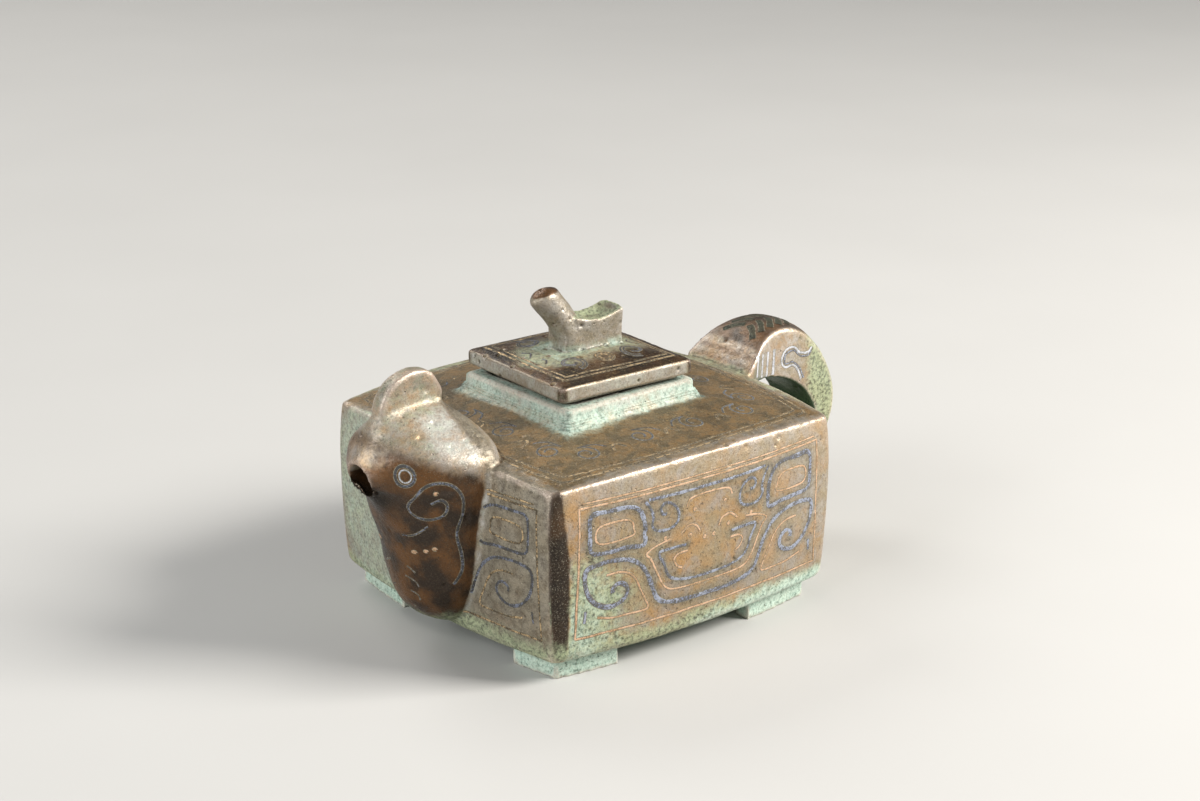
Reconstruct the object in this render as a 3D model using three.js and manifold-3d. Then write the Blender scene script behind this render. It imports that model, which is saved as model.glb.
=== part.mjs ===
// A small square bronze water dropper: a pillow-sided box on four bracket feet,
// with a bird-headed spout, a thick loop handle and a lid with a bird for a knob.
// Millimetres, +Z up. The spout points along -X, the handle along +X.
// The origin is on the ground, under the middle of the whole object.

import * as THREE from "three";
import { mergeVertices } from "three/addons/utils/BufferGeometryUtils.js";
import Module from "manifold-3d";

const wasm = await Module();
wasm.setup();

// Body: a square box whose sides bulge in plan and whose top is arched and domed.
const BODY_HALF = 35.8; // centre to corner line, along X or Y, where the box is widest
const BODY_HEIGHT = 35.4; // underside to top corners
const SIDE_BULGE = 3.1; // how far the middle of each side stands out past its corners
const TOP_ARCH = 1.3; // how far the middle of each top edge rises above its corners
const SHOULDER_RISE = 3.5; // top corners up to the foot of the collar
const WAIST_DROP = 10; // top corners down to the level where the box is widest
const TOP_INSET = 0.6; // how far the corners draw in from there to the top
const FOOT_INSET = 1; // and from there to the underside
const CORNER_ROUND = 1.3; // vertical corners
const UNDER_ROUND = 1.8; // round between sides and underside
const CAVITY_ROUND = 1; // the same inside
const TOP_BEVEL = 0.4; // worn top edge
const WALL = 3; // thickness of sides, top and bottom
const CORNER_SHIFT = 0.95; // the corner at (-X, -Y) is this much off the square, by hand

// Feet: brackets that turn each corner.
const FOOT_HEIGHT = 4;
const FOOT_LEG = 17.5; // length of each leg of a bracket
const FOOT_LEG_END = 13.8; // the foot at (-X, -Y) is smaller: its leg along the end wall
const FOOT_LEG_SIDE = 11.5; // and its leg along the side
const FOOT_THICK = 4.2;
const FOOT_SETBACK = 2.5; // in from the foot of the sides

// Collar round the mouth. Its centre is slightly off, as cast.
const COLLAR_X = -0.5;
const COLLAR_Y = 0.6;
const COLLAR_HALF = 16.6; // at the rim
const COLLAR_HEIGHT = 3.7;
const COLLAR_STEPS = 3; // small steps of its moulded foot
const COLLAR_STEP = 0.28; // depth of each
const COLLAR_STEP_HEIGHT = 0.5;
const COLLAR_ROUND = 1;
const MOUTH_HALF = 13.2;
const MOUTH_ROUND = 1.2;

// Lid: a domed square plate on a seat, with a hollow flange inside the mouth.
const LID_HALF = 16.4;
const LID_THICK = 2.9; // plate at its edge
const LID_DOME = 2.2;
const LID_ROUND = 1.1;
const LID_BEVEL = 0.3;
const LID_TURN = -3.2; // degrees: it sits slightly askew
const SEAT_HEIGHT = 1.1; // the seat holds the plate off the rim, as a shadow gap
const SEAT_INSET = 2;
const REST_GAP = 0.3; // between the seat and the rim it rests on
const FLANGE_DEPTH = 4;
const FLANGE_PLAY = 0.9; // between flange and mouth, all round
const FLANGE_THICK = 1.6;

// Spout: a bird's head and breast on the end wall.
const HEAD_Y = -1.8; // it sits a little to one side
const HEAD_REACH = 19; // end wall to the tip of the beak
const HEAD_HEIGHT = 45.4; // foot of the breast to the crown
const HEAD_DROP = 34.2; // foot of the breast below the body's top corners
const HEAD_HALF_WIDTH = 16; // at the widest level of the root
const HEAD_ROOT_DEPTH = 6; // how far the head's back runs into the end wall
const HEAD_BACK_POWER = 3; // how square the head's back is where it enters the wall
const HEAD_POINTS = 16; // points round each level slice
const CREST_THICK = 3.6;
const CREST_HEIGHT = 10; // foot to top
const CREST_SUNK = 3; // its foot below the crown of the head
const BORE_RADIUS = 3.05;
const BORE_MOUTH_RADIUS = 3.2;
const BORE_MOUTH_DEPTH = 6;
const BORE_END_RADIUS = 2; // the bore's inner end is rounded
const BORE_END_DEPTH = 2.5;
const BORE_LEVEL = 1.6; // bore below the body's top corners
const BORE_INTRUSION = 4.5; // how far it runs into the cavity
const BORE_POINTS = 16;

// Handle: a loop of D section on the other end wall.
const HANDLE_Y = 1.4;
const HANDLE_ROOT_WIDTH = 19.4;
const HANDLE_WIDTH = 13.2; // past the root
const HANDLE_REACH = 28.1; // end wall to the outermost edge
const HANDLE_RISE = 6.9; // edge of the loop above the body's top corners
const HANDLE_DROP = 30; // foot of the loop below them
const HANDLE_CROWN = 1.9; // how far the rounded back stands past its edges
const ROOT_START_SHARE = 0.05; // share of the way round where the root starts to narrow
const ROOT_END_SHARE = 0.3; // and where it has
const CROWN_END_SHARE = 0.8; // share of the way round where the back starts to flatten again

// Knob: a bird with a hollow back.
const BIRD_HEIGHT = 13.2; // top of the lid to the crown of its head
const BIRD_TAIL_REACH = 8.7; // lid's centre to the end of the tail
const BIRD_BEAK_REACH = 12.2; // lid's centre to the tip of the beak
const BIRD_HALF_WIDTH = 3.7; // at the tail's end
const BIRD_RIM = 0.8; // thickness of the rim round the hollow back
const HOLLOW_FLOOR_SHARE = 0.6; // width of the hollow's floor against its mouth

// Levels and places that follow from the sizes above.
const BODY_TOP = FOOT_HEIGHT + BODY_HEIGHT;
const END_WALL = BODY_HALF + SIDE_BULGE;
const COLLAR_BASE = BODY_TOP + SHOULDER_RISE;
const COLLAR_RIM = COLLAR_BASE + COLLAR_HEIGHT;
const COLLAR_FOOT_HALF = COLLAR_HALF + COLLAR_STEPS * COLLAR_STEP;
const FLANGE_HALF = MOUTH_HALF - FLANGE_PLAY;
const PLATE_UNDER = COLLAR_RIM + REST_GAP + SEAT_HEIGHT;
const PLATE_TOP = PLATE_UNDER + LID_THICK;
const SOLE_INSET = FOOT_INSET + FOOT_SETBACK;
const CROWN_LEVEL = BODY_TOP - HEAD_DROP + HEAD_HEIGHT;

const EMBED = 1; // how far joined pieces run into each other
const smooth = THREE.MathUtils.smoothstep;
const mix = THREE.MathUtils.lerp;

// A closed mesh through rings of equally many points, with a fan on each end.
function loft(rings) {
  const count = rings[0].length;
  const ends = [rings[0], rings[rings.length - 1]];
  const centres = ends.map((ring) =>
    ring.reduce((sum, point) => sum.add(point), new THREE.Vector3()).divideScalar(count));
  const points = [...rings.flat(), ...centres];
  const faces = [];
  const first = rings.length * count;
  for (let i = 0; i < count; i += 1) {
    const j = (i + 1) % count;
    const last = first - count;
    faces.push([first, j, i], [first + 1, last + i, last + j]);
    for (let row = 0; row < rings.length - 1; row += 1) {
      const a = row * count + i;
      const b = row * count + j;
      faces.push([a, b, b + count], [a, b + count, a + count]);
    }
  }
  return closedGeometry(points, faces);
}

// Turns faces outward, whichever way the rings ran.
function closedGeometry(points, faces) {
  const cross = new THREE.Vector3();
  const volume = faces.reduce(
    (sum, [a, b, c]) => sum + points[a].dot(cross.crossVectors(points[b], points[c])), 0);
  const turned = volume < 0 ? faces.map(([a, b, c]) => [a, c, b]) : faces;
  const geometry = new THREE.BufferGeometry().setFromPoints(points);
  geometry.setIndex(turned.flat());
  return geometry;
}

function toSolid(geometry) {
  const bare = geometry.clone();
  bare.deleteAttribute("normal");
  bare.deleteAttribute("uv");
  const merged = mergeVertices(bare, 1e-4);
  return new wasm.Manifold(new wasm.Mesh({
    numProp: 3,
    vertProperties: new Float32Array(merged.attributes.position.array),
    triVerts: new Uint32Array(merged.index.array),
  }));
}

function toGeometry(solid) {
  const mesh = solid.getMesh();
  const geometry = new THREE.BufferGeometry();
  geometry.setAttribute("position", new THREE.BufferAttribute(mesh.vertProperties, 3));
  geometry.setIndex(new THREE.BufferAttribute(mesh.triVerts, 1));
  return geometry;
}

// A level square ring with round corners.
function squareRing(half, round, z, steps = 3) {
  const ring = [];
  for (let corner = 0; corner < 4; corner += 1) {
    const start = (corner * Math.PI) / 2;
    const middle = start + Math.PI / 4;
    const cx = Math.SQRT2 * (half - round) * Math.cos(middle);
    const cy = Math.SQRT2 * (half - round) * Math.sin(middle);
    for (let i = 0; i <= steps; i += 1) {
      const angle = start + (i / steps) * (Math.PI / 2);
      ring.push(new THREE.Vector3(cx + round * Math.cos(angle), cy + round * Math.sin(angle), z));
    }
  }
  return ring;
}

// One ring of the body: sides bulge, corners are rounded, lift raises the middle of the sides.
const SIDE_POINTS = [-0.75, -0.5, -0.25, 0, 0.25, 0.5, 0.75];
function pillowRing(inset, z, lift = 0) {
  const half = BODY_HALF - inset;
  const near = 1 - CORNER_ROUND / half;
  const corner = half - CORNER_ROUND * (1 - Math.SQRT1_2);
  const side = [-near, ...SIDE_POINTS, near].map((u) => {
    const swell = 1 - u * u;
    return new THREE.Vector3(half * u, -half - SIDE_BULGE * swell, z + lift * swell);
  });
  side.push(new THREE.Vector3(corner, -corner, z));
  return [0, 1, 2, 3].flatMap((turn) => side.map((point) =>
    point.clone().applyAxisAngle(new THREE.Vector3(0, 0, 1), (turn * Math.PI) / 2)));
}

// Moves the corner at (-X, -Y) along the diagonal and leaves the other three where they are.
function uneven(geometry) {
  const place = geometry.attributes.position;
  for (let i = 0; i < place.count; i += 1) {
    const x = place.getX(i);
    const y = place.getY(i);
    const shift = (CORNER_SHIFT * (1 - x / BODY_HALF) * (1 - y / BODY_HALF)) / 4;
    place.setXY(i, x - shift, y + shift);
  }
  return geometry;
}

// How far the corner line is drawn in at a height above the underside.
function sideInset(height) {
  const waist = BODY_HEIGHT - WAIST_DROP;
  const share = height > waist ? (height - waist) / WAIST_DROP : (waist - height) / waist;
  return (height > waist ? TOP_INSET : FOOT_INSET) * share * share;
}

// The outer form (wall 0) or the cavity (wall WALL) of the body.
function pillow(wall) {
  const round = wall > 0 ? CAVITY_ROUND : UNDER_ROUND;
  const high = BODY_HEIGHT - wall;
  const rings = [];
  for (const turn of [0, 30, 60, 90]) {
    const angle = THREE.MathUtils.degToRad(turn);
    const height = wall + round * (1 - Math.cos(angle));
    const inset = round * (1 - Math.sin(angle));
    rings.push(pillowRing(wall + sideInset(height) + inset, FOOT_HEIGHT + height));
  }
  for (const share of [0.3, 0.55, 0.75, 0.9, 1]) {
    const height = mix(wall + round, high - TOP_BEVEL, share);
    const lift = TOP_ARCH * smooth(height / BODY_HEIGHT, 0.4, 1);
    rings.push(pillowRing(wall + sideInset(height), FOOT_HEIGHT + height, lift));
  }
  const rim = pillowRing(wall + TOP_INSET + TOP_BEVEL, FOOT_HEIGHT + high, TOP_ARCH);
  const crown = shoulderSquare(rim, FOOT_HEIGHT + high + SHOULDER_RISE);
  for (const share of [0, 0.35, 0.7, 1]) {
    rings.push(rim.map((point, i) => point.clone().lerp(crown[i], share)));
  }
  return toSolid(uneven(loft(rings)));
}

// The flat square under the collar, point for point with the rim of the top.
function shoulderSquare(rim, z) {
  return rim.map((point) => {
    const scale = COLLAR_FOOT_HALF / Math.max(Math.abs(point.x), Math.abs(point.y));
    return new THREE.Vector3(COLLAR_X + point.x * scale, COLLAR_Y + point.y * scale, z);
  });
}

// Rows of [half side, height] become a square tower over the collar's centre.
function collarLoft(rows, round) {
  const rings = rows.map(([half, z]) => squareRing(half, round, z));
  const geometry = loft(rings);
  geometry.translate(COLLAR_X, COLLAR_Y, 0);
  return toSolid(geometry);
}

function collar() {
  const rows = [[COLLAR_FOOT_HALF, COLLAR_BASE - WALL / 2]];
  for (let step = 0; step < COLLAR_STEPS; step += 1) {
    const half = COLLAR_FOOT_HALF - step * COLLAR_STEP;
    const z = COLLAR_BASE + (step + 1) * COLLAR_STEP_HEIGHT;
    rows.push([half, z], [half - COLLAR_STEP, z + COLLAR_STEP / 3]);
  }
  rows.push([COLLAR_HALF, COLLAR_RIM - LID_BEVEL], [COLLAR_HALF - LID_BEVEL, COLLAR_RIM]);
  return collarLoft(rows, COLLAR_ROUND);
}

function mouth() {
  const bottom = BODY_TOP - WALL - EMBED;
  return collarLoft([[MOUTH_HALF, bottom], [MOUTH_HALF, COLLAR_RIM + EMBED]], MOUTH_ROUND);
}

// A bracket foot at the corner (-X, -Y), its outer faces following the bulge of the sides.
function bracketShape(legs) {
  const outer = BODY_HALF - SOLE_INSET;
  const inner = outer - FOOT_THICK;
  const swell = (along) => SIDE_BULGE * (1 - (along / outer) ** 2);
  const leg = (edge, share, length) => {
    const along = -mix(edge, outer - length, share);
    return [along, -edge - swell(along)];
  };
  const spots = [];
  for (const share of [1, 0.5, 0]) spots.push(leg(outer, share, legs[0]));
  for (const share of [0.5, 1]) spots.push(leg(outer, share, legs[1]).reverse());
  for (const share of [1, 0.5, 0]) spots.push(leg(inner, share, legs[1]).reverse());
  for (const share of [0.5, 1]) spots.push(leg(inner, share, legs[0]));
  return new THREE.Shape(spots.map(([x, y]) => new THREE.Vector2(x, y)));
}

function feet() {
  const depth = FOOT_HEIGHT + WALL / 2;
  const even = [FOOT_LEG, FOOT_LEG];
  return [[FOOT_LEG_END, FOOT_LEG_SIDE], even, even, even].map((legs, turn) => {
    const bracket = new THREE.ExtrudeGeometry(bracketShape(legs), { depth, bevelEnabled: false });
    return toSolid(uneven(bracket.rotateZ((turn * Math.PI) / 2)));
  });
}

// Spout. Each row is one level slice of the head: height, reach of the front and half width at
// the root as shares of HEAD_HEIGHT, HEAD_REACH and HEAD_HALF_WIDTH, back edge past the end wall
// as a share of HEAD_ROOT_DEPTH, and how pointed the front is (2 is an ellipse, less a wedge).
const HEAD_SLICES = [
  [0, 0.04, 0.2, 0.8, 2],
  [0.02, 0.16, 0.34, 0.8, 2],
  [0.06, 0.3, 0.49, 0.8, 2],
  [0.12, 0.4, 0.6, 1, 2],
  [0.22, 0.47, 0.72, 1, 2],
  [0.34, 0.52, 0.81, 1, 2],
  [0.46, 0.6, 0.87, 1, 2],
  [0.56, 0.71, 0.92, 1, 1.9],
  [0.64, 0.87, 0.97, 1, 1.7],
  [0.69, 0.99, 1, 1, 1.6],
  [0.75, 1.02, 1, 1, 1.6],
  [0.8, 1, 1, 1.15, 1.6],
  [0.84, 0.95, 0.92, 1.15, 1.7],
  [0.88, 0.88, 0.76, 1, 1.8],
  [0.92, 0.82, 0.56, 0.75, 1.9],
  [0.96, 0.77, 0.36, 0.4, 2],
  [1, 0.7, 0.14, 0, 2],
];

function headSlice([height, reach, width, back, point]) {
  const z = BODY_TOP - HEAD_DROP + height * HEAD_HEIGHT;
  const front = reach * HEAD_REACH;
  const half = width * HEAD_HALF_WIDTH;
  const ring = [];
  for (let i = 0; i < HEAD_POINTS; i += 1) {
    const angle = (i / HEAD_POINTS) * 2 * Math.PI;
    const along = Math.cos(angle);
    const across = Math.sin(angle);
    const power = 2 / (along > 0 ? point : HEAD_BACK_POWER);
    const x = Math.sign(along) * Math.abs(along) ** power * (along > 0 ? front : back * HEAD_ROOT_DEPTH);
    const y = Math.sign(across) * Math.abs(across) ** power * half;
    ring.push(new THREE.Vector3(-END_WALL - x, HEAD_Y + y, z));
  }
  return ring;
}

// The crest is a thick rounded tab, given as a side view: distance past the end wall and height
// over its foot, as shares of HEAD_REACH and CREST_HEIGHT.
const CREST_OUTLINE = [
  [0.1, 0], [0.66, 0], [0.72, 0.27], [0.68, 0.56], [0.57, 0.82],
  [0.42, 0.96], [0.28, 1], [0.13, 0.95], [0.02, 0.76], [-0.06, 0.38],
];

function crest() {
  const rings = [1, -1].map((side) => CREST_OUTLINE.map(([reach, height]) => new THREE.Vector3(
    -END_WALL - reach * HEAD_REACH,
    HEAD_Y + (side * CREST_THICK) / 2,
    CROWN_LEVEL - CREST_SUNK + height * CREST_HEIGHT)));
  return toSolid(loft(rings));
}

// A level round bore from the beak into the cavity, with a flared mouth.
function bore() {
  const tip = END_WALL + HEAD_REACH + EMBED;
  const depth = EMBED + HEAD_REACH + WALL + BORE_INTRUSION;
  const slope = (BORE_MOUTH_RADIUS - BORE_RADIUS) / BORE_MOUTH_DEPTH;
  const profile = [
    [0, 0], [BORE_MOUTH_RADIUS + EMBED * slope, 0], [BORE_RADIUS, BORE_MOUTH_DEPTH + EMBED],
    [BORE_RADIUS, depth - BORE_END_DEPTH], [BORE_END_RADIUS, depth], [0, depth],
  ].map(([radius, along]) => new THREE.Vector2(radius, along));
  const channel = new THREE.LatheGeometry(profile, BORE_POINTS);
  channel.rotateZ(-Math.PI / 2).translate(-tip, HEAD_Y, BODY_TOP - BORE_LEVEL);
  return toSolid(channel);
}

// Handle. Stations round the loop, seen from the side: the outer edge and the hole, each as
// distance past the end wall in shares of HANDLE_REACH and height in shares of the loop's own.
const LOOP_STATIONS = [
  [[-0.06, 0.79], [-0.06, 0.73]],
  [[0.01, 0.86], [0.01, 0.755]],
  [[0.1, 0.92], [0.09, 0.765]],
  [[0.2, 0.97], [0.18, 0.765]],
  [[0.34, 1], [0.29, 0.755]],
  [[0.5, 1], [0.42, 0.735]],
  [[0.66, 0.955], [0.54, 0.7]],
  [[0.79, 0.87], [0.65, 0.645]],
  [[0.9, 0.76], [0.73, 0.58]],
  [[0.97, 0.645], [0.785, 0.51]],
  [[1, 0.54], [0.81, 0.45]],
  [[0.98, 0.42], [0.8, 0.38]],
  [[0.88, 0.28], [0.71, 0.28]],
  [[0.67, 0.14], [0.54, 0.21]],
  [[0.4, 0.05], [0.34, 0.18]],
  [[0.15, 0.01], [0.14, 0.17]],
  [[-0.06, 0], [-0.06, 0.17]],
];

// Points across the rounded back, as shares of its half width.
const BACK_POINTS = [-0.85, -0.6, -0.3, 0, 0.3, 0.6, 0.85];

function handleSection([outer, inner], index) {
  const share = index / (LOOP_STATIONS.length - 1);
  const bottom = BODY_TOP - HANDLE_DROP;
  const tall = HANDLE_RISE + HANDLE_DROP;
  const place = ([reach, height]) =>
    new THREE.Vector3(END_WALL + reach * HANDLE_REACH, 0, bottom + height * tall);
  const edge = place(outer);
  const hole = place(inner);
  const outward = edge.clone().sub(hole).normalize();
  const past = smooth(share, ROOT_START_SHARE, ROOT_END_SHARE);
  const crown = HANDLE_CROWN * past * (1 - smooth(share, CROWN_END_SHARE, 1));
  const half = mix(HANDLE_ROOT_WIDTH, HANDLE_WIDTH, past) / 2;
  const section = [hole.clone().setY(-half), edge.clone().setY(-half)];
  for (const across of BACK_POINTS) {
    const rise = crown * Math.sqrt(1 - across * across);
    section.push(edge.clone().addScaledVector(outward, rise).setY(across * half));
  }
  section.push(edge.clone().setY(half), hole.clone().setY(half));
  return section.map((point) => point.add(new THREE.Vector3(0, HANDLE_Y, 0)));
}

function handle() {
  return toSolid(loft(LOOP_STATIONS.map(handleSection)));
}

function vessel() {
  let solid = pillow(0).add(collar()).add(toSolid(loft(HEAD_SLICES.map(headSlice))));
  for (const piece of [crest(), handle(), ...feet()]) solid = solid.add(piece);
  return solid.subtract(pillow(WALL)).subtract(mouth()).subtract(bore());
}

// Knob. Stations along the bird's hollow body from its breast to its tail: distance from the
// lid's centre as a share of BIRD_TAIL_REACH, half width at the foot and at the rim as shares of
// BIRD_HALF_WIDTH, height of the rim and of the hollow's floor as shares of BIRD_HEIGHT.
const BIRD_STATIONS = [
  [-0.55, 0.3, 0.3, 0.4, 0.36],
  [-0.4, 0.8, 0.85, 0.5, 0.46],
  [-0.2, 0.95, 1, 0.5, 0.42],
  [0.05, 1, 1.05, 0.46, 0.36],
  [0.35, 0.96, 1.03, 0.45, 0.35],
  [0.65, 0.9, 1, 0.48, 0.38],
  [0.88, 0.86, 1, 0.53, 0.43],
  [1, 0.82, 1, 0.54, 0.5],
];

function birdStation([along, foot, rim, top, floor]) {
  const lidTop = PLATE_TOP + LID_DOME;
  const rimHalf = rim * BIRD_HALF_WIDTH;
  const side = [
    [foot * BIRD_HALF_WIDTH, lidTop - EMBED], [rimHalf, lidTop + top * BIRD_HEIGHT],
    [rimHalf - BIRD_RIM, lidTop + top * BIRD_HEIGHT],
    [(rimHalf - BIRD_RIM) * HOLLOW_FLOOR_SHARE, lidTop + floor * BIRD_HEIGHT],
  ];
  const mirrored = side.map(([y, z]) => [-y, z]).reverse();
  return [...side, ...mirrored].map(([y, z]) =>
    new THREE.Vector3(along * BIRD_TAIL_REACH, y, z));
}

// Levels of the bird's breast, neck and head, each a slanted slice with a keel in front: keel,
// widest point and back as [share of BIRD_BEAK_REACH, share of BIRD_HEIGHT], and half width.
const BIRD_NECK = [
  [[-0.37, -0.06], [-0.2, -0.06], [0, -0.06], 0.98],
  [[-0.5, 0.2], [-0.28, 0.22], [-0.02, 0.24], 0.96],
  [[-0.62, 0.38], [-0.4, 0.43], [-0.08, 0.48], 0.88],
  [[-0.75, 0.53], [-0.52, 0.62], [-0.22, 0.69], 0.78],
  [[-0.89, 0.67], [-0.64, 0.77], [-0.37, 0.85], 0.72],
  [[-1, 0.8], [-0.74, 0.91], [-0.46, 0.97], 0.66],
];

function birdNeckSlice([keel, wide, back, width]) {
  const place = ([reach, height], across) => new THREE.Vector3(
    reach * BIRD_BEAK_REACH, across * width * BIRD_HALF_WIDTH,
    PLATE_TOP + LID_DOME + height * BIRD_HEIGHT);
  const between = (a, b, share) => [mix(a[0], b[0], share), mix(a[1], b[1], share)];
  // Half way up the keel, at the widest point and on the shoulder of the back.
  const half = [
    [between(keel, wide, 0.5), 0.5], [wide, 1], [between(wide, back, 0.6), 0.85],
  ];
  const mirrored = half.map(([spot, across]) => [spot, -across]).reverse();
  return [[keel, 0], ...half, [back, 0], ...mirrored]
    .map(([spot, across]) => place(spot, across));
}

function bird() {
  const body = toSolid(loft(BIRD_STATIONS.map(birdStation)));
  return body.add(toSolid(loft(BIRD_NECK.map(birdNeckSlice))));
}

function lid() {
  const round = LID_ROUND;
  const rows = [
    [FLANGE_HALF, COLLAR_RIM - FLANGE_DEPTH, round], [FLANGE_HALF, COLLAR_RIM + REST_GAP, round],
    [LID_HALF - SEAT_INSET, COLLAR_RIM + REST_GAP, round],
    [LID_HALF - SEAT_INSET, PLATE_UNDER, round],
    [LID_HALF - LID_BEVEL, PLATE_UNDER, round], [LID_HALF, PLATE_UNDER + LID_BEVEL, round],
    [LID_HALF, PLATE_TOP - LID_BEVEL, round], [LID_HALF - LID_BEVEL, PLATE_TOP, round],
  ];
  for (const share of [0.8, 0.6, 0.4, 0.2]) {
    rows.push([LID_HALF * share, PLATE_TOP + LID_DOME * (1 - share * share), round * share]);
  }
  const plate = toSolid(loft(rows.map(([half, z, r]) => squareRing(half, r, z))));
  const pocketHalf = FLANGE_HALF - FLANGE_THICK;
  const pocket = toSolid(loft([COLLAR_RIM - FLANGE_DEPTH - EMBED, PLATE_UNDER]
    .map((z) => squareRing(pocketHalf, round, z))));
  return plate.subtract(pocket).add(bird());
}

const object = new THREE.Group();

const vesselMesh = new THREE.Mesh(
  toGeometry(vessel()),
  new THREE.MeshStandardMaterial({ color: 0x5e5038, roughness: 0.5, metalness: 0.6 }));
vesselMesh.name = "vessel";
object.add(vesselMesh);

const lidMesh = new THREE.Mesh(
  toGeometry(lid()),
  new THREE.MeshStandardMaterial({ color: 0x55442f, roughness: 0.45, metalness: 0.6 }));
lidMesh.name = "lid";
lidMesh.position.set(COLLAR_X, COLLAR_Y, 0);
lidMesh.rotation.z = THREE.MathUtils.degToRad(LID_TURN);
object.add(lidMesh);

// The origin goes under the middle of the whole object, spout and handle included.
const bounds = new THREE.Box3().setFromObject(object);
const middle = bounds.getCenter(new THREE.Vector3());
const model = new THREE.Group();
object.position.set(-middle.x, -middle.y, -bounds.min.z);
model.add(object);

export default model;
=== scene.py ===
"""Finish of an inlaid bronze water dropper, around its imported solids.

The solids are faceted, so the vessel and the lid are made again from the same sizes with fine
steps, fused into one skin each, and given casting unevenness, wear and pits as mesh. The silver
and gold wire is swept along lines drawn on those skins.
Modelling is in millimetres about the middle of the body, and is put in the frame's metres last.
"""

import math

import bmesh
import bpy
import numpy as np
from mathutils import Matrix, Vector
from mathutils.bvhtree import BVHTree
from mathutils.kdtree import KDTree

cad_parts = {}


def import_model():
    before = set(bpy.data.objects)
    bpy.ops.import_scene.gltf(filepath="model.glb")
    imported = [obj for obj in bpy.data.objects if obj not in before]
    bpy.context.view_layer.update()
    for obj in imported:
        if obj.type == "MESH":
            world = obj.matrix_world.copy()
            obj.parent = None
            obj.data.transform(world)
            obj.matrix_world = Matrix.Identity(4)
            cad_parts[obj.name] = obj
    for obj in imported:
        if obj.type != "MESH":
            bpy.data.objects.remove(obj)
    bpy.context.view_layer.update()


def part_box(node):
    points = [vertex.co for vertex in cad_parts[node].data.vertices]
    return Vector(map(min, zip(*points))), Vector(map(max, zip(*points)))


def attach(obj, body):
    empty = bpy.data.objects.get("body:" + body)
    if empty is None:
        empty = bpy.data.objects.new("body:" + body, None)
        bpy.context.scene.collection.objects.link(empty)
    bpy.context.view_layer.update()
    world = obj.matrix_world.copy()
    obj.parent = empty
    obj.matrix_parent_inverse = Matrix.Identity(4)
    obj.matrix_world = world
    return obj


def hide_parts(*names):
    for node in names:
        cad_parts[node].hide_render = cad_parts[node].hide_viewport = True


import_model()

MM = 0.001

# Sizes of the body, as the solids have them
BODY_HALF = 35.8
SIDE_BULGE = 3.1
FOOT_HEIGHT = 4.0
BODY_HEIGHT = 35.4
TOP_ARCH = 1.3
SHOULDER_RISE = 3.5
WAIST_DROP = 10.0
TOP_INSET = 0.6
FOOT_INSET = 1.0
CORNER_ROUND = 1.3
UNDER_ROUND = 1.8
CAVITY_ROUND = 1.0
TOP_BEVEL = 0.4
WALL = 3.0
CORNER_SHIFT = 0.95
FOOT_LEG = 17.5
FOOT_LEG_END = 13.8
FOOT_LEG_SIDE = 11.5
FOOT_THICK = 4.2
FOOT_SETBACK = 2.5

# Collar and lid
COLLAR_AT = (-0.5, 0.6)
COLLAR_HALF = 16.6
COLLAR_HEIGHT = 3.7
COLLAR_STEPS = 3
COLLAR_STEP = 0.28
COLLAR_STEP_HEIGHT = 0.5
COLLAR_ROUND = 1.0
MOUTH_HALF = 13.2
MOUTH_ROUND = 1.2
LID_HALF = 16.4
LID_THICK = 2.9
LID_DOME = 2.2
LID_ROUND = 1.1
LID_BEVEL = 0.3
LID_TURN = math.radians(-3.2)
SEAT_HEIGHT = 1.1
SEAT_INSET = 2.0
REST_GAP = 0.3
FLANGE_DEPTH = 4.0
FLANGE_PLAY = 0.9
FLANGE_THICK = 1.6

# Spout
HEAD_Y = -1.8
HEAD_REACH = 19.0
HEAD_HEIGHT = 45.4
HEAD_DROP = 34.2
HEAD_HALF_WIDTH = 16.0
HEAD_ROOT_DEPTH = 6.0
HEAD_BACK_POWER = 3.0
CREST_THICK = 3.6
CREST_HEIGHT = 10.0
CREST_SUNK = 3.0
BORE_RADIUS = 3.05
BORE_MOUTH_RADIUS = 3.2
BORE_MOUTH_DEPTH = 6.0
BORE_LEVEL = 1.6

# Handle
HANDLE_Y = 1.4
HANDLE_ROOT_WIDTH = 19.4
HANDLE_WIDTH = 13.2
HANDLE_REACH = 28.1
HANDLE_RISE = 6.9
HANDLE_DROP = 30.0
HANDLE_CROWN = 1.9

# Knob
BIRD_HEIGHT = 13.2
BIRD_TAIL_REACH = 8.7
BIRD_BEAK_REACH = 12.2
BIRD_HALF_WIDTH = 3.7
BIRD_RIM = 0.8
BIRD_SOFTENING = 26

EMBED = 1.0
BODY_TOP = FOOT_HEIGHT + BODY_HEIGHT
END_WALL = BODY_HALF + SIDE_BULGE
COLLAR_BASE = BODY_TOP + SHOULDER_RISE
COLLAR_RIM = COLLAR_BASE + COLLAR_HEIGHT
COLLAR_FOOT_HALF = COLLAR_HALF + COLLAR_STEPS * COLLAR_STEP
FLANGE_HALF = MOUTH_HALF - FLANGE_PLAY
PLATE_UNDER = COLLAR_RIM + REST_GAP + SEAT_HEIGHT
PLATE_TOP = PLATE_UNDER + LID_THICK
LID_TOP = PLATE_TOP + LID_DOME
CROWN_LEVEL = BODY_TOP - HEAD_DROP + HEAD_HEIGHT

# Camera, found from the photograph: place and aim in metres, and the lens for a 36 mm wide frame
CAMERA_PLACE = Vector((-0.3270, -0.3832, 0.2108))
CAMERA_AIM = Vector((0.6141, 0.7208, -0.3214))
CAMERA_ROLL = math.radians(0.15)
CAMERA_LENS = 78.0

# Mesh grain: the size of the voxels that fuse each skin, and its final number of triangles
VESSEL_VOXEL = 0.42
VESSEL_TRIANGLES = 190000
LID_VOXEL = 0.24
LID_TRIANGLES = 110000
FUSE_ROUNDS = 4


# Lofts and helpers

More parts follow.
